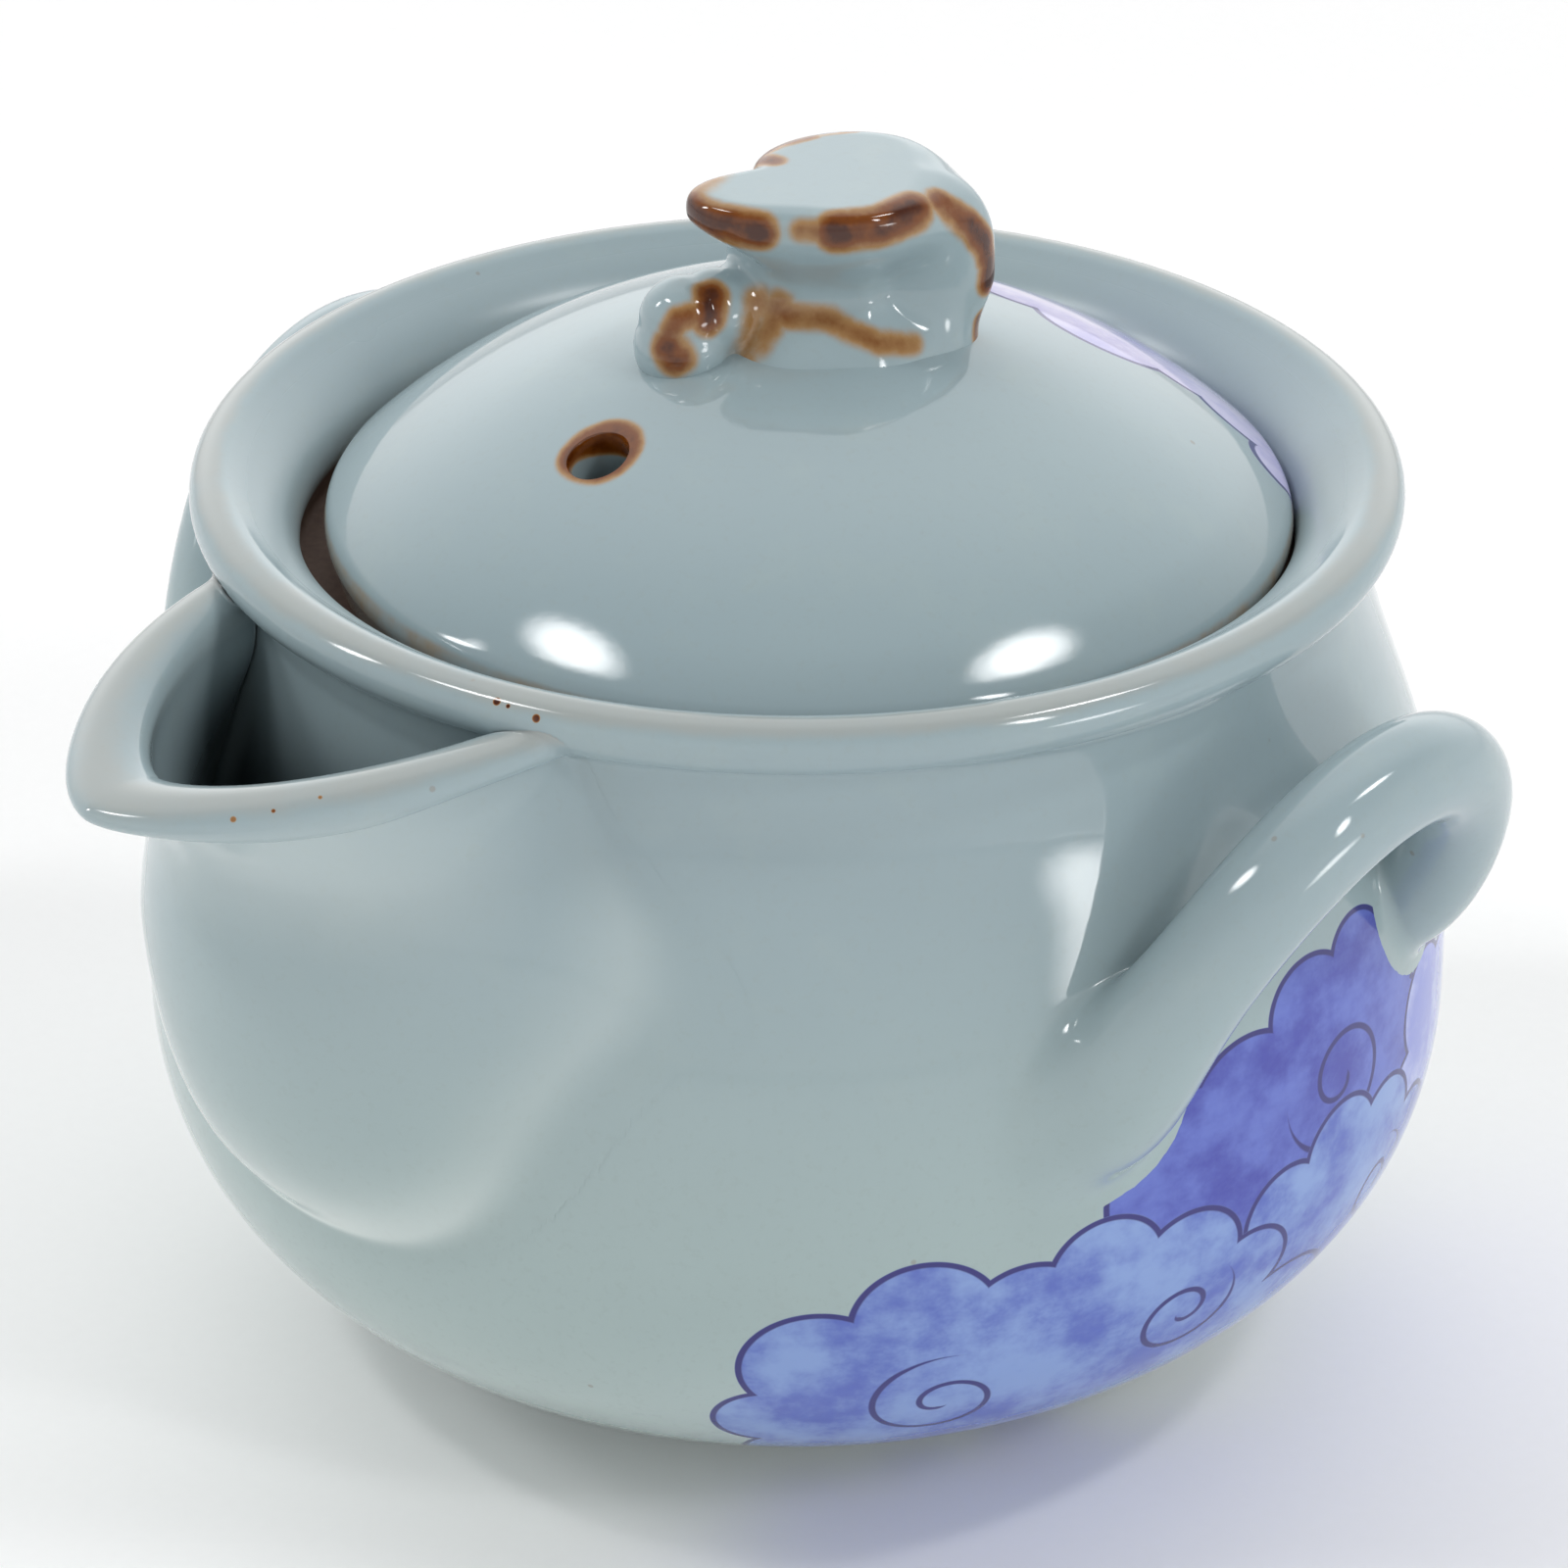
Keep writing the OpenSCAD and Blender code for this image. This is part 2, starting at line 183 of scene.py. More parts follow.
GLAZE_BLUE, GLAZE_GREY = (0.290, 0.375, 0.412, 1), (0.325, 0.410, 0.430, 1)
# The next two glaze colours are thicker glaze and also a painted glow of bounce light from the white table.
GLAZE_THICK_AND_GLOW, GLAZE_FOOT_GLOW = (0.365, 0.460, 0.450, 1), (0.470, 0.560, 0.540, 1)
GLAZE_MILKY, GLAZE_SANDY = (0.345, 0.425, 0.425, 1), (0.300, 0.360, 0.350, 1)
GLAZE_SPECK, GLAZE_THIN = (0.240, 0.200, 0.140, 1), (0.370, 0.350, 0.310, 1)
RUST_PALE, RUST_RED = (0.370, 0.215, 0.085, 1), (0.170, 0.046, 0.004, 1)
# The second colour on the next line is painted shade for the spout's dark pocket.
RUST_DARK, POCKET_PAINTED_SHADE = (0.055, 0.011, 0.002, 1), (0.010, 0.016, 0.018, 1)
CLAY_DARK, CLAY_PALE = (0.130, 0.078, 0.058, 1), (0.230, 0.150, 0.115, 1)
GLAZE_IOR = 1.53

net = bpy.data.node_groups.new("celadon_glaze", "ShaderNodeTree")
net.interface.new_socket("Place", in_out="INPUT", socket_type="NodeSocketVector")
# The fourth input paints shade into deep pockets.
for label in ("Thin", "Iron", "Bare", "Painted Shade"):
    net.interface.new_socket(label, in_out="INPUT", socket_type="NodeSocketFloat")
for label, kind in (("Color", "Color"), ("Roughness", "Float"), ("Height", "Float")):
    net.interface.new_socket(label, in_out="OUTPUT", socket_type="NodeSocket" + kind)
given = net.nodes.new("NodeGroupInput").outputs
result = net.nodes.new("NodeGroupOutput").inputs
pool = noise(net, given["Place"], 30)
mottle = noise(net, given["Place"], 170, 4.0, 0.6)
grain = noise(net, given["Place"], 1500, 3.0, 0.6)
colour = tint(net, pool, GLAZE_BLUE, GLAZE_GREY)
level = net.nodes.new("ShaderNodeSeparateXYZ")
net.links.new(given["Place"], level.inputs[0])
# Paler and greener towards the foot: thicker glaze there, with a painted glow of bounce light from the
# white table.
thick_glaze_and_glow = calc(net, "MULTIPLY", ramp(net, level.outputs["Z"], 0.060, 0.022), 0.8)
colour = tint(net, thick_glaze_and_glow, colour, GLAZE_THICK_AND_GLOW)
foot_pool_and_glow = calc(net, "MULTIPLY", ramp(net, level.outputs["Z"], 0.026, 0.008), 0.7)
colour = tint(net, foot_pool_and_glow, colour, GLAZE_FOOT_GLOW)
milky = calc(net, "MULTIPLY", ramp(net, mottle, 0.5, 0.75), 0.3)
colour = tint(net, milky, colour, GLAZE_MILKY)
sandy = calc(net, "MULTIPLY", ramp(net, grain, 0.52, 0.72), 0.22)
colour = tint(net, sandy, colour, GLAZE_SANDY)
cell = shade(net, "TexVoronoi", {"Vector": given["Place"], "Scale": 190.0})
dots = ramp(net, cell, 0.055, 0.030)
chosen = ramp(net, noise(net, given["Place"], 95), 0.56, 0.60)
dots = calc(net, "MULTIPLY", calc(net, "MULTIPLY", dots, chosen), 0.45)
colour = tint(net, dots, colour, GLAZE_SPECK)
ragged = calc(net, "MULTIPLY_ADD", calc(net, "SUBTRACT", mottle, 0.5), 0.9, given["Thin"])
colour = tint(net, calc(net, "MULTIPLY", ramp(net, ragged, 0.25, 1.0), 0.48), colour, GLAZE_THIN)
patch = noise(net, given["Place"], 420, 4.0, 0.65)
ragged = calc(net, "MULTIPLY_ADD", calc(net, "SUBTRACT", patch, 0.5), 0.9, 1.0)
ragged = calc(net, "MULTIPLY_ADD", calc(net, "SUBTRACT", mottle, 0.5), 1.5, ragged)
ragged = calc(net, "MULTIPLY", ragged, given["Iron"])
rust = tint(net, ramp(net, ragged, 0.25, 0.75), RUST_PALE, RUST_RED)
rust = tint(net, ramp(net, ragged, 0.7, 1.1), rust, RUST_DARK)
colour = tint(net, ramp(net, ragged, 0.06, 0.42), colour, rust)
clay = tint(net, grain, CLAY_DARK, CLAY_PALE)
colour = tint(net, given["Bare"], colour, clay)
# Painted shade: the glaze darkens where a pocket lies in shadow.
colour = tint(net, calc(net, "MULTIPLY", given["Painted Shade"], 0.88), colour, POCKET_PAINTED_SHADE)
net.links.new(colour, result["Color"])
gloss = calc(net, "MULTIPLY_ADD", pool, 0.05, 0.035)
net.links.new(calc(net, "MULTIPLY_ADD", given["Bare"], 0.65, gloss), result["Roughness"])
wave = calc(net, "MULTIPLY_ADD", grain, 0.02, calc(net, "MULTIPLY", mottle, 0.35))
net.links.new(calc(net, "MULTIPLY_ADD", pool, 0.6, wave), result["Height"])


def celadon(name):
    """A glazed clay material: its node tree, its glaze node and its object coordinates come with it."""
    made = bpy.data.materials.new(name)
    made.use_nodes = True
    tree = made.node_tree
    place = shade(tree, "TexCoord", {}, out="Object")
    glaze = tree.nodes.new("ShaderNodeGroup")
    glaze.node_tree = net
    tree.links.new(place, glaze.inputs["Place"])
    surface = tree.nodes["Principled BSDF"]
    surface.inputs["IOR"].default_value = GLAZE_IOR
    bump = shade(tree, "Bump", {"Strength": 0.5, "Distance": 0.00008, "Height": glaze.outputs["Height"]})
    tree.links.new(glaze.outputs["Color"], surface.inputs["Base Color"])
    tree.links.new(glaze.outputs["Roughness"], surface.inputs["Roughness"])
    tree.links.new(bump, surface.inputs["Normal"])
    return made, tree, glaze, place


def pinholes(tree, place, spots):
    """Mask of small round flaws in the glaze: middles and radii in mm."""
    mask = 0.0
    for x, y, z, r in spots:
        middle = (x * MM, y * MM, z * MM)
        far = shade(tree, "VectorMath", {0: place, 1: middle}, out="Value", operation="DISTANCE")
        mask = calc(tree, "MAXIMUM", mask, ramp(tree, far, r * MM, 0.4 * r * MM))
    return mask


INK = (0.030, 0.027, 0.170, 1)
PALE_BLUE, SKY_BLUE = (0.230, 0.340, 0.640, 1), (0.095, 0.140, 0.480, 1)
MID_BLUE, DEEP_BLUE = (0.120, 0.165, 0.540, 1), (0.055, 0.065, 0.370, 1)
LILAC, LILAC_BLUE = (0.420, 0.470, 0.760, 1), (0.210, 0.250, 0.640, 1)
PRINT_TALL = 33.0


def paint_clouds(tree, flat, colour, banks):
    """Paints banks of cloud, back to front, on a flat place in mm: round lobes, inked edges and scrolls."""
    for lobes, scrolls, pale, painted_shade in banks:
        edge = 100.0
        for u, v, r in lobes:
            far = shade(tree, "VectorMath", {0: flat, 1: (u, v, 0)}, out="Value", operation="DISTANCE")
            edge = calc(tree, "MINIMUM", edge, calc(tree, "SUBTRACT", far, r))
        inside = ramp(tree, edge, 0.06, -0.06)
        wash = noise(tree, flat, 0.11, 5.0, 0.62)
        colour = tint(tree, inside, colour, tint(tree, ramp(tree, wash, 0.36, 0.62), painted_shade, pale))
        line = ramp(tree, calc(tree, "ABSOLUTE", calc(tree, "ADD", edge, 0.2)), 0.36, 0.2)
        for u, v, r, start, turns, hand in scrolls:
            arm = shade(tree, "VectorMath", {0: flat, 1: (u, v, 0)}, operation="SUBTRACT")
            far = shade(tree, "VectorMath", {0: arm}, out="Value", operation="LENGTH")
            part = tree.nodes.new("ShaderNodeSeparateXYZ")
            tree.links.new(arm, part.inputs[0])
            way = calc(tree, "ARCTAN2", part.outputs["Y"], part.outputs["X"])
            way = calc(tree, "MULTIPLY_ADD", way, hand / (2 * math.pi), -hand * start / 360)
            wound = calc(tree, "MULTIPLY_ADD", far, turns / r, way)
            off = calc(tree, "WRAP", calc(tree, "SUBTRACT", wound, turns), 0.5, -0.5)
            stroke = ramp(tree, calc(tree, "MULTIPLY", calc(tree, "ABSOLUTE", off), r / turns), 0.34, 0.18)
            within = calc(tree, "MULTIPLY", ramp(tree, far, r, r - 0.2), ramp(tree, far, 0.1 * r, 0.14 * r))
            line = calc(tree, "MAXIMUM", line, calc(tree, "MULTIPLY", stroke, within))
        colour = tint(tree, calc(tree, "MULTIPLY", line, inside), colour, INK)
    return colour


CREST_R = 0.0427
bowl_glaze, tree, glaze, place = celadon("celadon_bowl")
spot = tree.nodes.new("ShaderNodeSeparateXYZ")
tree.links.new(place, spot.inputs[0])
flat = shade(tree, "VectorMath", {0: place, 1: (1, 1, 0)}, operation="MULTIPLY")
radius = shade(tree, "VectorMath", {0: flat}, out="Value", operation="LENGTH")
height = spot.outputs["Z"]
crest = calc(tree, "ABSOLUTE", calc(tree, "SUBTRACT", radius, CREST_R))
crest = calc(tree, "MULTIPLY", ramp(tree, crest, 0.0022, 0.0002), ramp(tree, height, 0.0668, 0.0682))
tree.links.new(calc(tree, "MULTIPLY", crest, 0.95), glaze.inputs["Thin"])
ledge = calc(tree, "MULTIPLY", ramp(tree, radius, 0.0373, 0.0369), ramp(tree, height, 0.0561, 0.0566))
foot = ramp(tree, height, 0.0008, 0.0005)
ledge = calc(tree, "MULTIPLY", ledge, ramp(tree, height, 0.0622, 0.0612))
bare = calc(tree, "MAXIMUM", ledge, foot)
tree.links.new(bare, glaze.inputs["Bare"])
# Painted shade on the bowl's wall inside the spout's pocket, behind the lip.
turned = shade(tree, "VectorRotate", {"Vector": place, "Angle": -SPOUT_TURN}, rotation_type="Z_AXIS")
pocket = tree.nodes.new("ShaderNodeSeparateXYZ")
tree.links.new(turned, pocket.inputs[0])
aside = calc(tree, "ABSOLUTE", pocket.outputs["X"])
pocket_z = pocket.outputs["Z"]
painted_shade = calc(tree, "MULTIPLY", ramp(tree, aside, 0.0160, 0.0120), ramp(tree, pocket_z, 0.0610, 0.0520))
painted_shade = calc(tree, "MULTIPLY", painted_shade, ramp(tree, pocket.outputs["Y"], -0.0360, -0.0370))
painted_shade = calc(tree, "MULTIPLY", painted_shade, ramp(tree, pocket_z, 0.0300, 0.0360))
painted_shade = calc(tree, "MULTIPLY", painted_shade, ramp(tree, radius, 0.0400, 0.0410))
flare = calc(tree, "MULTIPLY", ramp(tree, radius, 0.0412, 0.0396), ramp(tree, height, 0.0605, 0.0610))
tree.links.new(painted_shade, glaze.inputs["Painted Shade"])
around = calc(tree, "ARCTAN2", spot.outputs["X"], calc(tree, "MULTIPLY", spot.outputs["Y"], -1.0))
across = calc(tree, "MULTIPLY", calc(tree, "SUBTRACT", around, math.pi / 2), BELLY_R)
climb = calc(tree, "MULTIPLY_ADD", height, 1 / (MM * BELLY_DROP), -BELLY_Z / BELLY_DROP)
climb = calc(tree, "MULTIPLY_ADD", calc(tree, "ARCSINE", climb), PRINT_TALL, BELLY_Z)
unrolled = shade(tree, "CombineXYZ", {"X": across, "Y": climb})
far_lobes = [(-7.5, 31, 8.5), (-3, 36, 6), (4, 41, 5), (10.5, 43, 4), (15, 38.5, 4.5), (6, 33, 10),
             (14, 30, 8)]
side_lobes = [(22, 32, 5), (27, 28.5, 6.5), (34, 26, 7), (41, 22, 6.5), (28, 20, 9), (38, 14, 9),
              (20, 24, 6)]
puff_lobes = [(1, 24, 4.5), (7.5, 26.5, 4.8), (14, 25, 4.6), (19.5, 21, 4.4), (8, 17, 10), (18, 12, 9),
              (28, 9, 8)]
near_lobes = [(-40, 11.5, 4.8), (-36.5, 19, 6), (-29, 23.5, 5.6), (-21.5, 22.5, 5.2), (-15.5, 25.5, 4.8),
              (-8.5, 23.5, 5), (-2.5, 19.5, 4.6), (-30, 12, 11), (-18, 13, 10), (-7, 11, 10), (3, 9, 8.5),
              (-36, 3, 7), (-23, 2, 8), (-9, 1, 8), (-12, 19.5, 5)]
near_scrolls = [(-27, 13.5, 6.2, 100, 1.7, 1), (-8, 18, 5, 20, 1.6, -1)]
banks = [(far_lobes, [(7, 33.5, 6.5, 200, 1.6, 1)], MID_BLUE, DEEP_BLUE),
         (side_lobes, [(35, 24, 5.5, 150, 1.5, -1)], LILAC, LILAC_BLUE),
         (puff_lobes, [(15, 19, 4.4, 60, 1.6, -1)], PALE_BLUE, SKY_BLUE),
         (near_lobes, near_scrolls, PALE_BLUE, SKY_BLUE)]
painted = paint_clouds(tree, unrolled, glaze.outputs["Color"], banks)
outer = calc(tree, "MULTIPLY", ramp(tree, radius, 0.0250, 0.0262), ramp(tree, height, 0.0580, 0.0575))
outer = calc(tree, "MULTIPLY", outer, ramp(tree, bare, 0.5, 0.1))
colour = tint(tree, outer, glaze.outputs["Color"], painted)
tree.links.new(colour, tree.nodes["Principled BSDF"].inputs["Base Color"])
rim_flaws = ((12.7, -41.5, 67.9, 0.36), (13.6, -41.3, 67.8, 0.2), (15.8, -40.8, 67.5, 0.38))
flaws = pinholes(tree, place, rim_flaws)
tree.links.new(calc(tree, "MULTIPLY", flaws, 0.9), glaze.inputs["Iron"])
satin = calc(tree, "MULTIPLY_ADD", flare, 0.22, glaze.outputs["Roughness"])
tree.links.new(satin, tree.nodes["Principled BSDF"].inputs["Roughness"])
bowl.data.materials.clear()
bowl.data.materials.append(bowl_glaze)
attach(bowl, "pot")
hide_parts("bowl")

# Spout. A sheet of clay bent to a pointed beak and luted onto the belly, its lip rolled outwards
# and its seam smoothed over with a wet finger, so that it grows out of the wall. The glaze runs
# thin over the lip and lets the clay's warm tone through there. Along the seam and under the lip
# it is painted pale, a painted glow of the table's reflected light over glaze pooled there, and
# deep in the pocket it is painted dark as shade.
SPOUT_LOW, LIP_Z, LIP_RISE = 21.6, 63.3, 4.1
ROOT_REACH, BASE_REACH, BASE_HALF, BASE_TOP = 38, 56.2, 19, 54.3
LIP_REACH, LIP_HALF, LIP_MID = 61.6, 18.2, 61.2
ROLL_OUT, ROLL_WIDE, ROLL_TALL = 3.4, 2.6, 2.1
INSIDE_REACH, INSIDE_HALF, INSIDE_LOW, INSIDE_TOP = 52.8, 15.4, 23.6, 52
BASE_ROUND, HALF_ROUND = 0.76, 0.36
BEAK_SWEEP, BEAK_TURNS, BEAK_AXIS = 104, 281, 34
SEAM_LIFT, SEAM_FILL, SEAM_SINK = 0.02, 1.2, 0.984
# A pale tint painted as the table's light reflected along the seam and under the lip.
GLAZE_PAINTED_GLOW = (0.720, 0.790, 0.770, 1)


def soften(low, high, t):
    """0 at the first value, 1 at the second, smooth between."""
    u = np.clip((t - low) / (high - low), 0, 1)
    return u * u * (3 - 2 * u)


def round_over(a, b, k):
    """The larger of two radii, with the corner between them filled to a width k."""
    h = np.maximum(k - np.abs(a - b), 0)
    return np.maximum(a, b) + h * h / (4 * k)


# Each row of the beak holds its reach, half width and height, and then its shares of thin glaze,
# painted shade, lift, bulge, forward fill and sideways fill. Rows run up the outside, over the lip
# and down the inside.
beak = []
for a in np.radians(np.linspace(1, 90, 64)):
    c, s = abs(math.cos(a)), math.sin(a)
    beak.append((ROOT_REACH + (BASE_REACH - ROOT_REACH) * s ** BASE_ROUND,
                 BASE_HALF * max(0.06, s) ** HALF_ROUND,
                 SPOUT_LOW + (BASE_TOP - SPOUT_LOW) * (1 - c ** BASE_ROUND), 0, 0, 0, 0, 0, 0))
for a in np.radians(np.linspace(0, 90, 16)[1:]):
    c, s = math.cos(a), math.sin(a)
    step_out, step_in = LIP_REACH - BASE_REACH, BASE_HALF - LIP_HALF
    beak.append((BASE_REACH + step_out * (1 - c), BASE_HALF - step_in * (1 - c),
                 BASE_TOP + (LIP_MID - ROLL_TALL - BASE_TOP) * s, 0, 0, s ** 2, 0,
                 step_out * (s ** 1.5 - 1 + c), step_in * (1 - c) + 0.9 * s ** 1.5))
outer_rows = len(beak)
for a in np.linspace(-90, 180, 34)[1:]:
    c, s = math.cos(math.radians(a)), math.sin(math.radians(a))
    fill_out, fill_side = (2.0 * (1 + s - c), 1.7 * (1 - c)) if a < 0 else (0, 0)
    beak.append((LIP_REACH + ROLL_OUT * c, LIP_HALF + ROLL_WIDE * c, LIP_MID + ROLL_TALL * s,
                 math.exp(-((a - 70) / 55) ** 2), 0, (1 - s) / 2, max(c, 0), fill_out, fill_side))
for z in np.linspace(LIP_MID, INSIDE_TOP, 20)[1:]:
    up = float(soften(INSIDE_TOP, LIP_MID, z))
    beak.append((INSIDE_REACH + (LIP_REACH - ROLL_OUT - INSIDE_REACH) * up,
                 INSIDE_HALF + (LIP_HALF - ROLL_WIDE - INSIDE_HALF) * up, z,
                 0, float(soften(60, 53, z)), 0, 0, 0, 0))
for a in np.radians(np.linspace(85, 20, 32)):
    c, s = math.cos(a), math.sin(a)
    beak.append((ROOT_REACH + (INSIDE_REACH - ROOT_REACH) * s, INSIDE_HALF * s ** HALF_ROUND,
                 INSIDE_LOW + (BASE_TOP - INSIDE_LOW) * (1 - c), 0, 1, 0, 0, 0, 0))
beak = np.array(beak)
rows = len(beak)
bpy.ops.object.select_all(action="DESELECT")
bpy.ops.mesh.primitive_grid_add(x_subdivisions=BEAK_TURNS - 1, y_subdivisions=rows - 1, size=1)
spout = bpy.context.object
spout.name = spout.data.name = "spout_beak"
flat = np.empty(len(spout.data.vertices) * 3)
spout.data.vertices.foreach_get("co", flat)
flat = flat.reshape(-1, 3) + 0.5
a = np.radians(BEAK_SWEEP) * (2 * flat[:, 0] - 1)
row = np.rint(flat[:, 1] * (rows - 1)).astype(int)
reach, half, height, edge, painted_shade, lift, bulge, fill, wide = beak[row].T
point = 0.94 + 0.36 * soften(44, LIP_Z, height)
out = np.sign(np.cos(a)) * np.abs(np.cos(a)) ** point
side = np.sign(a) * np.abs(np.sin(a)) ** point
spread = 8 * (1 - out) ** 2 * soften(LIP_Z - 4, LIP_Z - 20, height)
near_root = soften(0.35, 1.35, a)
near_side = soften(0.1, 0.6, a) * soften(1.15, 0.75, a)
far_base = 0.7 * soften(-0.1, -0.8, a) * soften(50, 42, height) * soften(26, 34, height)
near_base = soften(-0.2, 0.7, a) * (1.9 * soften(61, 50, height) + 0.5 * soften(42, 32, height))
x = (half + spread + far_base + near_base + wide * near_side - bulge * near_root) * side
far_side = soften(-0.6, -1.6, a)
x = x * (1 - 0.11 * far_side * soften(54, 60, height))
tip = np.maximum(out, 0) ** 5
y = -(BEAK_AXIS + (reach + fill * near_side - BEAK_AXIS) * out)
rise = LIP_RISE * (1 - 0.3 * far_side) * (1 - np.maximum(out, 0))
z = SPOUT_LOW + (height - SPOUT_LOW) * (1 + rise / (LIP_Z - SPOUT_LOW))
z = z + lift * (1.6 * tip + 1.9 * near_root)
c, s = math.cos(SPOUT_TURN), math.sin(SPOUT_TURN)
x, y = x * c - y * s, x * s + y * c
r = np.hypot(x, y)
wall = outside(z) + SEAM_LIFT
blend = SEAM_FILL + soften(63, 50, z) * (0.9 * soften(-0.2, 0.8, a) - 0.2)
blend = np.where(row < outer_rows, blend, SEAM_FILL)
grown = round_over(wall, r, blend)
flat = np.stack([x * grown / r, y * grown / r, z], 1) * MM
spout.data.vertices.foreach_set("co", flat.ravel())
lip = spout.data.attributes.new("thin_glaze", "FLOAT", "POINT")
lip.data.foreach_set("value", edge.astype(np.float32))
# Painted shade for the inside of the beak, darker deeper down.
painted_shade_layer = spout.data.attributes.new("painted_shade", "FLOAT", "POINT")
painted_shade_layer.data.foreach_set("value", painted_shade.astype(np.float32))
# A pale painted glow along the seam and under the lip, standing for the table's reflected light where the
# glaze also pools.
proud = grown - wall
right_side = soften(-0.1, 0.8, a) * (0.45 + 0.55 * soften(25, 38, z))
painted_glow = np.exp(-(proud / (3.4 - 1.2 * right_side)) ** 2) * soften(0, 0.2 + 0.8 * right_side, proud)
painted_glow = painted_glow * 0.85 * (1 - 0.75 * right_side)
painted_glow = np.where(row < outer_rows, painted_glow * soften(62, 52, z), 0)
under_lip = np.where(row < outer_rows, 1, lift ** 2) * soften(49, 57, z) * soften(1.3, 0.6, a)
painted_glow = np.maximum(painted_glow, 0.28 * under_lip)
glow_mask = spout.data.attributes.new("painted_glow", "FLOAT", "POINT")
glow_mask.data.foreach_set("value", painted_glow.astype(np.float32))


def mark_seam(piece, weights):
    """Notes how far each vertex of a luted piece takes on the bowl's surface."""
    group = piece.vertex_groups.new(name="seam")
    for index in np.nonzero(weights > 0.01)[0]:
        group.add([int(index)], float(weights[index]), "REPLACE")


def melt_seam(piece):
    """Takes the bowl's own surface directions over where a luted piece runs out onto it."""
    melt = piece.modifiers.new("melt", "DATA_TRANSFER")
    melt.object = bowl
    melt.use_loop_data = True
    melt.data_types_loops = {"CUSTOM_NORMAL"}
    melt.loop_mapping = "POLYINTERP_NEAREST"
    melt.vertex_group = "seam"
    bpy.ops.object.select_all(action="DESELECT")
    bpy.context.view_layer.objects.active = piece
    piece.select_set(True)
    bpy.ops.object.modifier_apply(modifier=melt.name)


gone = r < wall - blend
weights = np.where(gone, 1, 1 - soften(0.0, 0.5, grown - wall))
bpy.ops.object.shade_smooth()
mark_seam(spout, weights)
bpy.ops.object.mode_set(mode="EDIT")
bpy.ops.mesh.select_mode(type="FACE")
bpy.ops.mesh.select_all(action="DESELECT")
bpy.ops.object.mode_set(mode="OBJECT")
for face in spout.data.polygons:
    face.select = all(gone[v] for v in face.vertices)
bpy.ops.object.mode_set(mode="EDIT")
bpy.ops.mesh.delete(type="FACE")
bpy.ops.mesh.select_mode(type="EDGE")
bpy.ops.mesh.select_all(action="DESELECT")
bpy.ops.mesh.select_non_manifold(extend=False, use_boundary=True, use_wire=False, use_multi_face=False,
                                 use_non_contiguous=False, use_verts=False)
bpy.ops.mesh.extrude_region_move()
bpy.ops.transform.resize(value=(SEAM_SINK, SEAM_SINK, 1), center_override=(0, 0, 0))
bpy.ops.mesh.select_all(action="SELECT")
bpy.ops.mesh.fill_holes(sides=0)
bpy.ops.mesh.select_all(action="DESELECT")
bpy.ops.mesh.select_mode(type="FACE")
bpy.ops.object.mode_set(mode="OBJECT")
drawn = len(spout.data.vertices)
for face in spout.data.polygons:
    face.select = len(face.vertices) > 4
bpy.ops.object.mode_set(mode="EDIT")
bpy.ops.mesh.quads_convert_to_tris(ngon_method="BEAUTY")
bpy.ops.mesh.subdivide(number_cuts=4)
bpy.ops.object.mode_set(mode="OBJECT")
skin = np.empty(len(spout.data.vertices) * 3)
spout.data.vertices.foreach_get("co", skin)
skin = skin.reshape(-1, 3)
hidden = skin[drawn:]
mid_wall = (outside(hidden[:, 2] / MM) - WALL / 2) * MM
hidden[:, :2] *= (mid_wall / np.hypot(hidden[:, 0], hidden[:, 1]))[:, None]
spout.data.vertices.foreach_set("co", skin.ravel())
melt_seam(spout)

spout_glaze, tree, glaze, place = celadon("celadon_spout")
thin = shade(tree, "Attribute", {}, out="Fac", attribute_name="thin_glaze")
tree.links.new(thin, glaze.inputs["Thin"])
tree.links.new(shade(tree, "Attribute", {}, out="Fac", attribute_name="painted_shade"), glaze.inputs["Painted Shade"])
# Paler where the glow of reflected table light is painted.
painted_glow = shade(tree, "Attribute", {}, out="Fac", attribute_name="painted_glow")
colour = tint(tree, painted_glow, glaze.outputs["Color"], GLAZE_PAINTED_GLOW)
tree.links.new(colour, tree.nodes["Principled BSDF"].inputs["Base Color"])
lip_flaws = ((5.9, -59.4, 63.1, 0.3), (7.6, -57.3, 63.6, 0.2), (9.3, -54.6, 64.3, 0.25))
flaws = pinholes(tree, place, lip_flaws)
tree.links.new(calc(tree, "MULTIPLY", flaws, 0.7), glaze.inputs["Iron"])
spout.data.materials.clear()
spout.data.materials.append(spout_glaze)
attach(spout, "pot")
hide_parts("spout")

# Handles. Two rolled coils of clay bent to leaning loops and luted to the belly at both ends,
# the front root pressed out wide and smooth and the back one higher up and tighter.
COLUMNS, RINGS, ROOT_ROWS, SKIRT_ROWS = 48, 300, 30, 6
COIL_R, FRONT_SWELL, BACK_SWELL = 3.88, 0.42, 0.12
LOOP_IN, LOOP_OUT, LOOP_HALF, LOOP_LOW, LOOP_RISE = 41.2, 11, 16.9, 37.6, 19.6
LOOP_LEAN, BACK_RISE, INTO_WALL = 3.2, 1.4, (-28, 0, -8)
RIGHT_TURN, LEFT_TURN = math.radians(2), math.radians(0.5)


def arch(s):
    """Middle line of the loop in mm: s is -1 at the front root, 1 at the back, beyond that in the wall."""
    a = np.pi / 2 * np.sign(s) * np.minimum(np.abs(s), 1) ** 0.8
    c = np.maximum(0, np.cos(a))
    line = np.stack([LOOP_IN + LOOP_OUT * c ** 0.58, LOOP_HALF * np.sin(a) + LOOP_LEAN * c,
                     LOOP_LOW + LOOP_RISE * c + BACK_RISE * (1 + np.sin(a))], -1)
    return line + np.maximum(np.abs(s) - 1, 0)[:, None] * np.array(INTO_WALL)


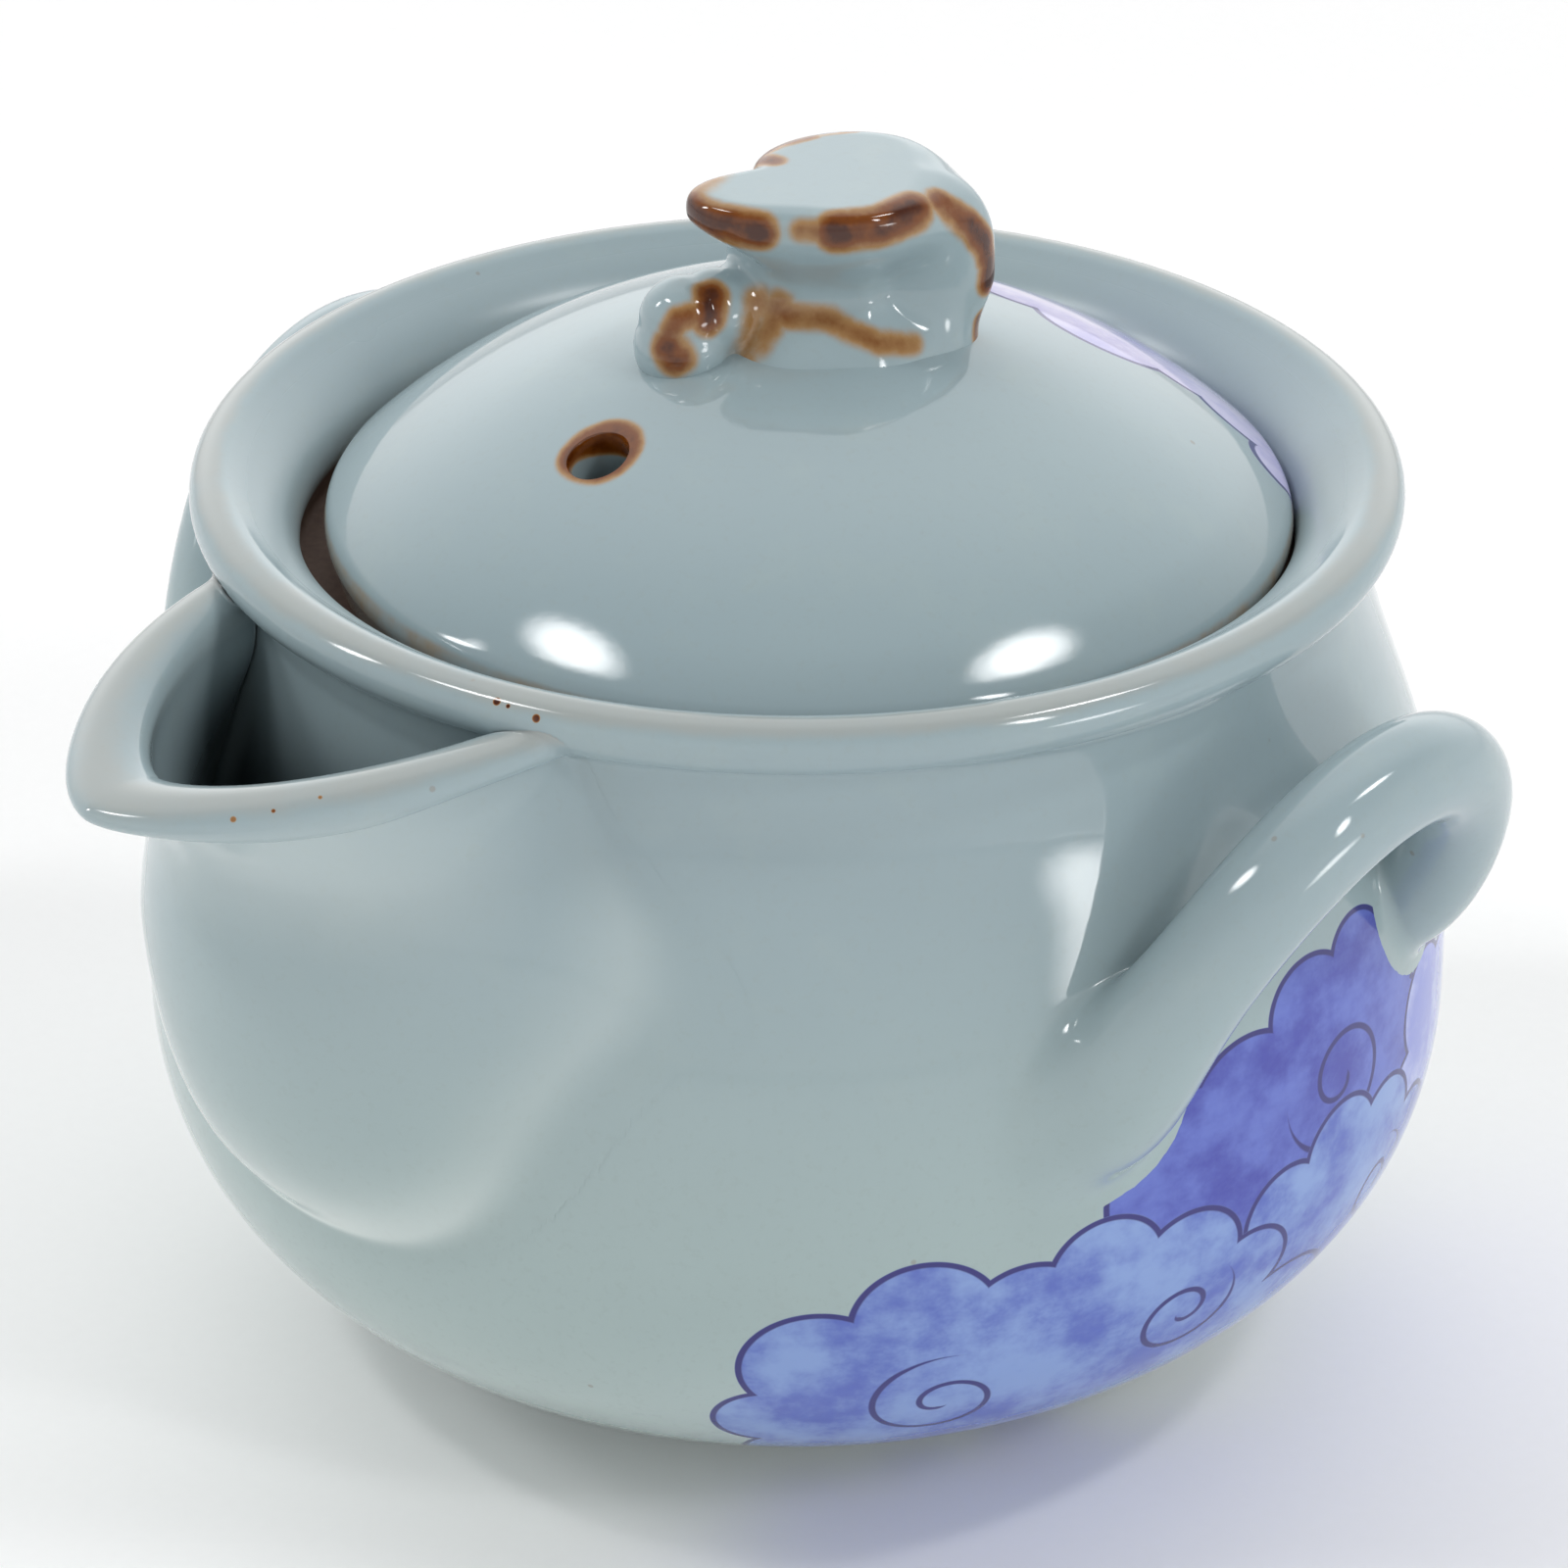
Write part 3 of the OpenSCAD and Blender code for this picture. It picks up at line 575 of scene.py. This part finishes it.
def coil(s, around):
    """Points on the coil's skin, and the directions there from its middle line."""
    ahead = arch(s + 0.004) - arch(s - 0.004)
    ahead /= np.linalg.norm(ahead, axis=1)[:, None]
    tilt = np.array([-LOOP_RISE, 0, LOOP_OUT]) / math.hypot(LOOP_RISE, LOOP_OUT)
    u = tilt - ahead * (ahead @ tilt)[:, None]
    u /= np.linalg.norm(u, axis=1)[:, None]
    ray = u * np.cos(around)[:, None] + np.cross(ahead, u) * np.sin(around)[:, None]
    swell = np.abs(np.sin(np.pi / 2 * np.minimum(np.abs(s), 1) ** 0.8)) ** 14
    size = COIL_R * (1 + np.where(s < 0, FRONT_SWELL, BACK_SWELL) * swell)
    return arch(s) + ray * size[:, None], ray


def to_wall(p):
    """Distance of points from the bowl's outside, and the direction straight off it."""
    r = np.hypot(p[:, 0], p[:, 1])
    slope = (outside(p[:, 2] + 0.1) - outside(p[:, 2] - 0.1)) / 0.2
    steep = np.sqrt(1 + slope ** 2)
    return (r - outside(p[:, 2])) / steep, np.stack([p[:, 0] / r, p[:, 1] / r, -slope], 1) / steep[:, None]


def seat(p, lift):
    """Points brought onto the bowl's outside, a little proud of it or sunk in."""
    grow = (outside(p[:, 2]) + lift) / np.hypot(p[:, 0], p[:, 1])
    return np.stack([p[:, 0] * grow, p[:, 1] * grow, p[:, 2]], 1)


def root(end, around):
    """One root: where each line along the coil leaves it, and the fillet and skirt rows from there on."""
    ray = coil(np.full(COLUMNS, 0.95 * end), around)[1]
    fill = 1.4 + 1.9 * np.clip(-ray[:, 1], 0, 1) if end < 0 else np.full(COLUMNS, 1.3)
    s = end * np.linspace(0, 1.25, 600)
    skin = coil(np.tile(s, COLUMNS), np.repeat(around, len(s)))[0]
    gap = to_wall(skin)[0].reshape(COLUMNS, -1)
    hit = np.argmax(gap < fill[:, None], axis=1)
    before, after = gap[range(COLUMNS), hit - 1], gap[range(COLUMNS), hit]
    leave = s[hit - 1] + (s[hit] - s[hit - 1]) * (before - fill) / (before - after)
    start, ray = coil(leave, around)
    ahead = start - coil(leave - 0.01 * end, around)[0]
    ahead /= np.linalg.norm(ahead, axis=1)[:, None]
    away, face = to_wall(start)
    run = np.clip(away / np.maximum(0.3, -(ahead * face).sum(1)), 0, 2.6 * fill)
    meet = start + ahead * run[:, None]
    along = ray - face * (ray * face).sum(1)[:, None]
    along /= np.linalg.norm(along, axis=1)[:, None]
    foot = seat(meet + along * (0.35 * fill)[:, None], SEAM_LIFT)
    stop = seat(meet + along * (1.1 * fill)[:, None], SEAM_LIFT)
    lines = []
    for t in np.linspace(0, 1, ROOT_ROWS):
        lines.append(start * (1 - t) ** 3 + (start + ahead * (0.6 * run)[:, None]) * 3 * t * (1 - t) ** 2
                     + foot * 3 * t * t * (1 - t) + stop * t ** 3)
    for t in np.linspace(0.1, 1, SKIRT_ROWS):
        lines.append(seat(stop + along * t, SEAM_LIFT - 0.12 * t))
    lines.append(seat(stop + along * 0.8, -1.2))
    return leave, np.stack(lines, 1)


bpy.ops.object.select_all(action="DESELECT")
bpy.ops.mesh.primitive_cylinder_add(vertices=COLUMNS, radius=1, depth=2, end_fill_type="NGON")
handle_right = bpy.context.object
handle_right.name = handle_right.data.name = "handle_right_coil"
for cuts in (59, 4):
    bpy.ops.object.mode_set(mode="EDIT")
    bpy.ops.mesh.select_mode(type="EDGE")
    bpy.ops.mesh.select_all(action="DESELECT")
    bpy.ops.object.mode_set(mode="OBJECT")
    for e in handle_right.data.edges:
        p, q = (handle_right.data.vertices[i].co for i in e.vertices)
        e.select = abs(p.z - q.z) > 0.001
    bpy.ops.object.mode_set(mode="EDIT")
    bpy.ops.mesh.subdivide(number_cuts=cuts)
    bpy.ops.object.mode_set(mode="OBJECT")
pipe = np.empty(len(handle_right.data.vertices) * 3)
handle_right.data.vertices.foreach_get("co", pipe)
pipe = pipe.reshape(-1, 3)
around = np.linspace(0, 2 * np.pi, COLUMNS, endpoint=False)
front, front_rows = root(-1, around)
back, back_rows = root(1, around)
middle_rows = []
for t in np.linspace(0, 1, RINGS + 3 - 2 * front_rows.shape[1])[1:-1]:
    middle_rows.append(coil(front + (back - front) * t, around)[0])
grid = np.concatenate([front_rows[:, ::-1], np.stack(middle_rows, 1), back_rows], 1)
column = np.rint(np.arctan2(pipe[:, 1], pipe[:, 0]) / (2 * np.pi) * COLUMNS).astype(int) % COLUMNS
ring = np.rint((pipe[:, 2] + 1) / 2 * RINGS).astype(int)
handle_right.data.vertices.foreach_set("co", (grid[column, ring] * MM).ravel())
from_end = np.minimum(ring, RINGS - ring)
weights = 1 - soften(SKIRT_ROWS, SKIRT_ROWS + 0.5 * ROOT_ROWS, from_end)
bpy.ops.object.mode_set(mode="EDIT")
bpy.ops.mesh.select_all(action="SELECT")
bpy.ops.mesh.normals_make_consistent(inside=False)
bpy.ops.object.mode_set(mode="OBJECT")
bpy.ops.object.shade_smooth()

handle_glaze = celadon("celadon_handle")[0]
handle_right.data.materials.clear()
handle_right.data.materials.append(handle_glaze)
bpy.ops.object.duplicate()
handle_left = bpy.context.object
handle_left.name = handle_left.data.name = "handle_left_coil"
handle_left.scale = (-1, 1, 1)
bpy.ops.object.transform_apply(location=False, rotation=False, scale=True)
bpy.ops.object.mode_set(mode="EDIT")
bpy.ops.mesh.select_all(action="SELECT")
bpy.ops.mesh.normals_make_consistent(inside=False)
bpy.ops.object.mode_set(mode="OBJECT")
for handle, node, turn in ((handle_right, "handle_right", RIGHT_TURN),
                           (handle_left, "handle_left", LEFT_TURN)):
    bpy.ops.object.select_all(action="DESELECT")
    bpy.context.view_layer.objects.active = handle
    handle.select_set(True)
    handle.rotation_euler = (0, 0, turn)
    bpy.ops.object.transform_apply(location=False, rotation=True, scale=False)
    mark_seam(handle, weights)
    melt_seam(handle)
    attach(handle, "pot")
    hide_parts(node)

# Lid. A shallow thrown dome with a rounded edge that rests on the gallery's ledge, and a flange
# below that keeps it from sliding, with a little play to one side. The steam vent is pierced with
# a round stick, and iron shows brown around it.
LID_PLAY = 0.6
DOME_R, DOME_Z, UNDER_R, FLANGE_R = 50, 29.3, 46, 28.5
EDGE_R, EDGE_Z, EDGE_ARC = 32.8, 63.797, 2.4
VENT_X, VENT_Y, VENT_R, VENT_DEEP = -0.45, -20.6, 2.15, -12
BEVEL_WIDE, BEVEL_TALL, BEVEL_Z = 0.4, 1.0, -0.9


def dome(radius, start, end, n):
    """Points on one of the dome's two round skins, angles from the pot's axis."""
    return [(radius * math.sin(b), DOME_Z + radius * math.cos(b)) for b in np.linspace(start, end, n)]


lid_section = dome(DOME_R, 0, math.atan2(EDGE_R, EDGE_Z - DOME_Z), 44)
lid_section += arc(EDGE_R, EDGE_Z, EDGE_ARC, 46.4, -30, 14)[1:]
lid_section += [(34.6, 61.6), (34.2, 60.3), (33.9, 59.75), (33.5, 59.5), (31.6, 59.5), (31.3, 59.2),
                (31.3, 54.3), (30.7, 53.5), (29.0, 53.5), (FLANGE_R, 54.0)]
lid_section += [(FLANGE_R, z) for z in (57, 60, 63)]
lid_section += dome(UNDER_R, math.asin(FLANGE_R / UNDER_R), 0, 24)
lid = lathe("lid_dome", lid_section, LATHE_STEPS)
vent_z = DOME_Z + math.sqrt(DOME_R ** 2 - VENT_X ** 2 - VENT_Y ** 2)
stick = [(0, VENT_DEEP), (VENT_R, VENT_DEEP), (VENT_R, BEVEL_Z)]
for b in np.linspace(0.1, math.pi / 2, 10):
    stick.append((VENT_R + BEVEL_WIDE * (1 - math.cos(b)), BEVEL_Z + BEVEL_TALL * math.sin(b)))
stick += [(2.6, 4), (0, 4)]
vent = lathe("vent_stick", stick, 64)
vent.rotation_euler = (math.asin(-VENT_Y / DOME_R), 0, 0)
vent.location = (VENT_X * MM, VENT_Y * MM, vent_z * MM)
bpy.ops.object.transform_apply(location=True, rotation=True, scale=True)
cut(lid, vent)
lid.location = (LID_PLAY * MM, LID_PLAY * MM, 0)
bpy.ops.object.transform_apply(location=True, rotation=False, scale=False)
bpy.ops.object.shade_smooth_by_angle(angle=math.radians(38))

lid_glaze, tree, glaze, place = celadon("celadon_lid")
spot = tree.nodes.new("ShaderNodeSeparateXYZ")
tree.links.new(place, spot.inputs[0])
middle = ((LID_PLAY + VENT_X - 0.1) * MM, (LID_PLAY + VENT_Y + 0.3) * MM, 0)
level = shade(tree, "VectorMath", {0: place, 1: (1, 1, 0)}, operation="MULTIPLY")
ring = shade(tree, "VectorMath", {0: level, 1: middle}, out="Value", operation="DISTANCE")
height = spot.outputs["Z"]
halo = calc(tree, "MULTIPLY", ramp(tree, ring, 0.0037, 0.0023), ramp(tree, height, 0.0732, 0.0742))
stain = calc(tree, "MULTIPLY", ramp(tree, height, 0.0652, 0.0644), 0.2)
tree.links.new(calc(tree, "MAXIMUM", calc(tree, "MULTIPLY", halo, 0.8), stain), glaze.inputs["Iron"])
tree.links.new(ramp(tree, height, 0.0630, 0.0612), glaze.inputs["Thin"])
tree.links.new(ramp(tree, height, 0.0606, 0.0602), glaze.inputs["Bare"])
plan = shade(tree, "VectorMath", {0: level, "Scale": 1 / MM}, operation="SCALE")
plan = shade(tree, "VectorRotate", {"Vector": plan, "Angle": -math.pi / 4}, rotation_type="Z_AXIS")
PALE_LILAC, DUSK = (0.600, 0.570, 0.780, 1), (0.400, 0.380, 0.690, 1)
lid_bank = ([(17, 13.5, 4.6), (22.5, 10, 5.4), (28.5, 10.5, 4.6), (33, 8, 4.2), (36.5, 3, 3.6), (22, 20, 9),
             (31, 17, 9)], [], PALE_LILAC, DUSK)
painted = paint_clouds(tree, plan, glaze.outputs["Color"], [lid_bank])
upper = ramp(tree, height, 0.0615, 0.0622)
colour = tint(tree, upper, glaze.outputs["Color"], painted)
tree.links.new(colour, tree.nodes["Principled BSDF"].inputs["Base Color"])
lid.data.materials.clear()
lid.data.materials.append(lid_glaze)
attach(lid, "lid")
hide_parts("lid")

# Knob. A cloud scroll pinched from one lump of clay: a flat cap over a hollowed side, its back
# rolled down to the lid, and a ball curl in front. Iron was brushed along its edges and fired
# to a brown that breaks through the glaze.
KNOB_X, KNOB_LOW, KNOB_TOP, KNOB_TURN = 2.2, 75.8, 90.5, math.radians(45)
KNOB_SIDES, KNOB_LEVELS, VOXEL = 120, 60, 0.22
CAP_TURN = (0, 22, 45, 75, 106, 135, 160, 171, 177, 184, 191, 198, 210, 222, 236, 250, 275, 310, 332, 346)
CAP_SPAN = (11.1, 10.0, 9.1, 8.3, 7.6, 7.1, 6.7, 6.3, 6.5, 8.6, 10.9, 11.7, 11.5, 10.6, 9.2, 8.4, 8.3, 8.1,
            8.7, 9.9)
CURL_BALLS = ((3.55, (-9.0, -4.5, 78.9)), (3.25, (-8.9, -4.4, 80.8)), (3.2, (-6.7, -3.4, 81.0)),
              (3.0, (-4.9, -2.2, 81.2)))


def dent(a, at, wide):
    """1 at one angle in degrees, falling away to both sides."""
    away = np.abs((a - at + 180) % 360 - 180)
    return np.exp(-(away / wide) ** 2)


def oval(a, p, q):
    """Radius of an oval at an angle in degrees, from its two half widths."""
    return 1 / np.sqrt((np.cos(np.radians(a)) / p) ** 2 + (np.sin(np.radians(a)) / q) ** 2)


bpy.ops.object.select_all(action="DESELECT")
bpy.ops.mesh.primitive_circle_add(vertices=KNOB_SIDES, radius=1, fill_type="NGON")
knob = bpy.context.object
knob.name = knob.data.name = "knob_scroll"
bpy.ops.object.mode_set(mode="EDIT")
bpy.ops.mesh.select_all(action="SELECT")
for i in range(KNOB_LEVELS):
    bpy.ops.mesh.extrude_region_move(TRANSFORM_OT_translate={"value": (0, 0, 1 / KNOB_LEVELS)})
bpy.ops.object.mode_set(mode="OBJECT")
form = np.empty(len(knob.data.vertices) * 3)
knob.data.vertices.foreach_get("co", form)
form = form.reshape(-1, 3)
a = np.degrees(np.arctan2(form[:, 1], form[:, 0])) % 360
t = np.clip(form[:, 2], 0, 1)
z = KNOB_LOW + (KNOB_TOP - KNOB_LOW) * t
cap = sum(np.interp(a + step, CAP_TURN, CAP_SPAN, period=360) for step in np.linspace(-5, 5, 11)) / 11
base = oval(a, 9.4, 7.5) + 0.9 * dent(a, 238, 26) - 0.5 * dent(a, 322, 20) + 0.6 * dent(a, 0, 22)
waist = oval(a, 8.0, 4.9) + 3.1 * dent(a, 0, 25) - 1.1 * dent(a, 318, 17) + 0.8 * dent(a, 225, 30)
foot = base + 0.8 * np.exp(-np.clip(z - 78.0, 0, 9) / 0.7) * (1 - dent(a, 0, 50))
span = foot + (waist - foot) * soften(78.2, 82.6, z)
tongue = dent(a, 200, 26)
span = span + (cap - span) * soften(82.9 + 2.6 * tongue, 88.0 + 0.8 * tongue, z)
shoulder = 1.3 + 4.2 * dent(a, 5, 36)
over = np.clip((z - KNOB_TOP + shoulder) / shoulder, 0, 1)
span = span - 0.95 * shoulder * (1 - np.sqrt(np.maximum(0, 1 - over ** 2)))
form = np.stack([KNOB_X + span * np.cos(np.radians(a)), span * np.sin(np.radians(a)), z], 1)
knob.data.vertices.foreach_set("co", (form * MM).ravel())
for size, spot in CURL_BALLS:
    bpy.ops.mesh.primitive_uv_sphere_add(segments=48, ring_count=24, radius=size * MM,
                                         location=[c * MM for c in spot])
    bpy.ops.object.transform_apply(location=True, rotation=True, scale=True)
    knob.select_set(True)
    bpy.context.view_layer.objects.active = knob
    bpy.ops.object.join()
bpy.ops.object.mode_set(mode="EDIT")
bpy.ops.mesh.select_all(action="SELECT")
bpy.ops.mesh.normals_make_consistent(inside=False)
bpy.ops.object.mode_set(mode="OBJECT")
fuse = knob.modifiers.new("fuse", "REMESH")
fuse.mode = "VOXEL"
fuse.voxel_size = VOXEL * MM
bpy.ops.object.modifier_apply(modifier=fuse.name)
melt = knob.modifiers.new("melt", "SMOOTH")
melt.factor = 0.5
melt.iterations = 9
bpy.ops.object.modifier_apply(modifier=melt.name)
bpy.ops.object.shade_smooth()
# Strokes of iron: the brush's half width in mm, its strength, and its path.
brush = {
    "front edge": (2.3, 1.05, ((-8.6, -4.0, 89.3), (-7.8, -5.5, 89.2), (-6.5, -6.6, 89.1),
                               (-3.6, -7.6, 89.0))),
    "tongue": (3.3, 0.45, ((-8.3, -2.8, 90.2), (-7.4, -0.9, 90.4))),
    "middle start": (1.7, 0.5, ((-0.6, -7.9, 89.2), (1.8, -8.2, 89.2))),
    "middle edge": (2.4, 1.1, ((1.9, -8.2, 89.2), (5.1, -7.4, 89.4), (7.3, -5.2, 89.6))),
    "back": (2.0, 1.0, ((9.1, -3.5, 89.4), (10.2, -3.4, 88.7), (11.6, -2.6, 87.2), (12.7, -1.6, 85.3),
                        (13.0, -1.2, 83.7), (12.9, -1.3, 82.6))),
    "notch": (1.7, 0.8, ((-3.6, 2.4, 90.2), (-2.6, 1.6, 90.5))),
    "far edge": (1.0, 0.65, ((-3.4, 3.0, 90.2), (-2.0, 4.5, 90.4), (0.3, 6.0, 90.4))),
    "far end": (0.7, 0.4, ((0.3, 6.0, 90.4), (3.3, 7.0, 90.4))),
    "rear edge": (1.9, 0.9, ((10.2, 4.6, 87.6), (7.6, 6.6, 88.6), (3.4, 7.8, 88.8))),
    "heel": (1.4, 0.75, ((12.0, -1.2, 79.4), (12.0, -1.2, 78.2))),
    "ball top": (2.1, 1.0, ((-7.0, -5.6, 83.2), (-7.1, -6.8, 81.9))),
    "ball band": (1.7, 0.7, ((-7.3, -6.7, 82.3), (-9.3, -7.3, 82.2), (-9.9, -7.6, 81.0))),
    "ball foot": (2.4, 1.0, ((-9.9, -7.8, 80.0), (-9.5, -7.8, 79.4))),
    "crook": (2.2, 0.5, ((-3.7, -4.7, 82.4), (-4.5, -6.3, 78.8))),
    "crook run": (2.2, 0.5, ((-2.2, -5.0, 82.2), (-3.6, -6.1, 79.6))),
    "foot": (1.8, 0.55, ((-1.8, -5.4, 81.6), (0.2, -5.8, 81.6), (1.5, -5.8, 81.5), (3.0, -6.2, 80.7),
                         (5.0, -6.3, 79.9), (7.3, -5.4, 79.5))),
}
skin = np.empty(len(knob.data.vertices) * 3)
knob.data.vertices.foreach_get("co", skin)
skin = skin.reshape(-1, 3) / MM
iron = np.zeros(len(skin))
for width, strength, path in brush.values():
    for p, q in zip(np.array(path), np.array(path[1:])):
        t = np.clip((skin - p) @ (q - p) / ((q - p) @ (q - p)), 0, 1)
        away = np.linalg.norm(skin - p - t[:, None] * (q - p), axis=1)
        iron = np.maximum(iron, strength * soften(width, 0, away))
coat = knob.data.attributes.new("iron", "FLOAT", "POINT")
coat.data.foreach_set("value", iron.astype(np.float32))
knob.rotation_euler = (0, 0, KNOB_TURN)
knob.location = (LID_PLAY * MM, LID_PLAY * MM, 0)
bpy.ops.object.transform_apply(location=True, rotation=True, scale=False)

knob_glaze, tree, glaze = celadon("celadon_knob")[:3]
tree.links.new(shade(tree, "Attribute", {}, out="Fac", attribute_name="iron"), glaze.inputs["Iron"])
knob.data.materials.clear()
knob.data.materials.append(knob_glaze)
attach(knob, "lid")
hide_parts("lid_knob")

# Table, light and camera. A pale table in an open white room, brightest at the backdrop. Two soft
# boxes stand high on either side, two upright strips below them, and a low card at the right.
PAPER_LOW, PAPER_HIGH = (0.93, 0.93, 0.93, 1), (0.95, 0.95, 0.95, 1)
TABLE_SIZE, LAMP_FAR, LAMP_AIM_Z = 6, 1.2, 0.05
CAMERA_AZ, CAMERA_TILT, SENSOR = math.radians(45), math.radians(28.206), 36
CAMERA_FAR, CAMERA_ASIDE, CAMERA_AIM_Z = 0.520, 0.000946, 0.041016
FOCAL_PX, FRAME_PX = 7144.57, 1600
bpy.ops.object.select_all(action="DESELECT")
bpy.ops.mesh.primitive_plane_add(size=TABLE_SIZE)
table = bpy.context.object
table.name = "table"
paper = bpy.data.materials.new("table_paper")
paper.use_nodes = True
tree = paper.node_tree
fibre = noise(tree, shade(tree, "TexCoord", {}, out="Object"), 900, 3.0)
surface = tree.nodes["Principled BSDF"]
tree.links.new(tint(tree, fibre, PAPER_LOW, PAPER_HIGH), surface.inputs["Base Color"])
surface.inputs["Roughness"].default_value = 0.9
surface.inputs["Specular IOR Level"].default_value = 0.1
table.data.materials.append(paper)

scene = bpy.context.scene
scene.view_settings.view_transform = "Standard"
room = bpy.data.worlds.new("room")
scene.world = room
room.use_nodes = True
tree = room.node_tree
way = shade(tree, "TexCoord", {}, out="Generated")
rise = tree.nodes.new("ShaderNodeSeparateXYZ")
tree.links.new(way, rise.inputs[0])
walls = ramp(tree, rise.outputs["Z"], 0.75, 0.2)
toward = shade(tree, "VectorMath", {0: way, 1: (-0.52, 0.52, 0.68)}, out="Value", operation="DOT_PRODUCT")
panel = ramp(tree, toward, 0.55, 0.92)
white = calc(tree, "MULTIPLY_ADD", walls, 0.68, 0.28)
white = calc(tree, "MULTIPLY_ADD", panel, 1.0, white)
tree.links.new(white, tree.nodes["Background"].inputs["Strength"])
tree.nodes["Background"].inputs["Color"].default_value = (1, 1, 1, 1)


def softbox(name, azimuth, elevation, width, tall, power, roll=0):
    """A lamp aimed at the pot, fading to its edges. Azimuth runs from the camera's side to its right."""
    az, el = math.radians(azimuth) + CAMERA_AZ, math.radians(elevation)
    place = Vector((math.sin(az) * math.cos(el), -math.cos(az) * math.cos(el), math.sin(el)))
    lamp = bpy.data.lights.new(name, "AREA")
    lamp.shape = "RECTANGLE"
    lamp.size, lamp.size_y = width, tall
    lamp.energy = power
    lamp.use_nodes = True
    tree = lamp.node_tree
    spot = shade(tree, "NewGeometry", {}, out="Parametric")
    spot = shade(tree, "VectorMath", {0: spot, 1: (1, 1, 0)}, operation="MULTIPLY")
    far = shade(tree, "VectorMath", {0: spot, 1: (0.5, 0.5, 0)}, out="Value", operation="DISTANCE")
    tree.links.new(ramp(tree, far, 0.5, 0.1), tree.nodes["Emission"].inputs["Strength"])
    box = bpy.data.objects.new(name, lamp)
    scene.collection.objects.link(box)
    box.location = place * LAMP_FAR + Vector((0, 0, LAMP_AIM_Z))
    turn = Quaternion((0, 0, 1), math.radians(roll))
    box.rotation_euler = ((-place).to_track_quat("-Z", "Y") @ turn).to_euler()


softbox("softbox_left", -81, 54, 0.54, 0.20, 7, 28)
softbox("softbox_right", 75, 56, 0.54, 0.18, 7, -28)
softbox("strip_left", -95, 33, 0.18, 0.40, 5)
softbox("strip_right", 47, 39, 0.18, 0.40, 5)
softbox("low_right", 53, 4, 0.50, 0.26, 4)

along = math.cos(CAMERA_TILT)
back = Vector((math.sin(CAMERA_AZ) * along, -math.cos(CAMERA_AZ) * along, math.sin(CAMERA_TILT)))
right = Vector((math.cos(CAMERA_AZ), math.sin(CAMERA_AZ), 0))
lens = bpy.data.cameras.new("camera")
lens.sensor_width = SENSOR
lens.lens = SENSOR * FOCAL_PX / FRAME_PX
lens.clip_start = 0.01
camera = bpy.data.objects.new("camera", lens)
scene.collection.objects.link(camera)
camera.location = back * CAMERA_FAR - right * CAMERA_ASIDE + Vector((0, 0, CAMERA_AIM_Z))
camera.rotation_euler = (math.pi / 2 - CAMERA_TILT, 0, CAMERA_AZ)
scene.camera = camera
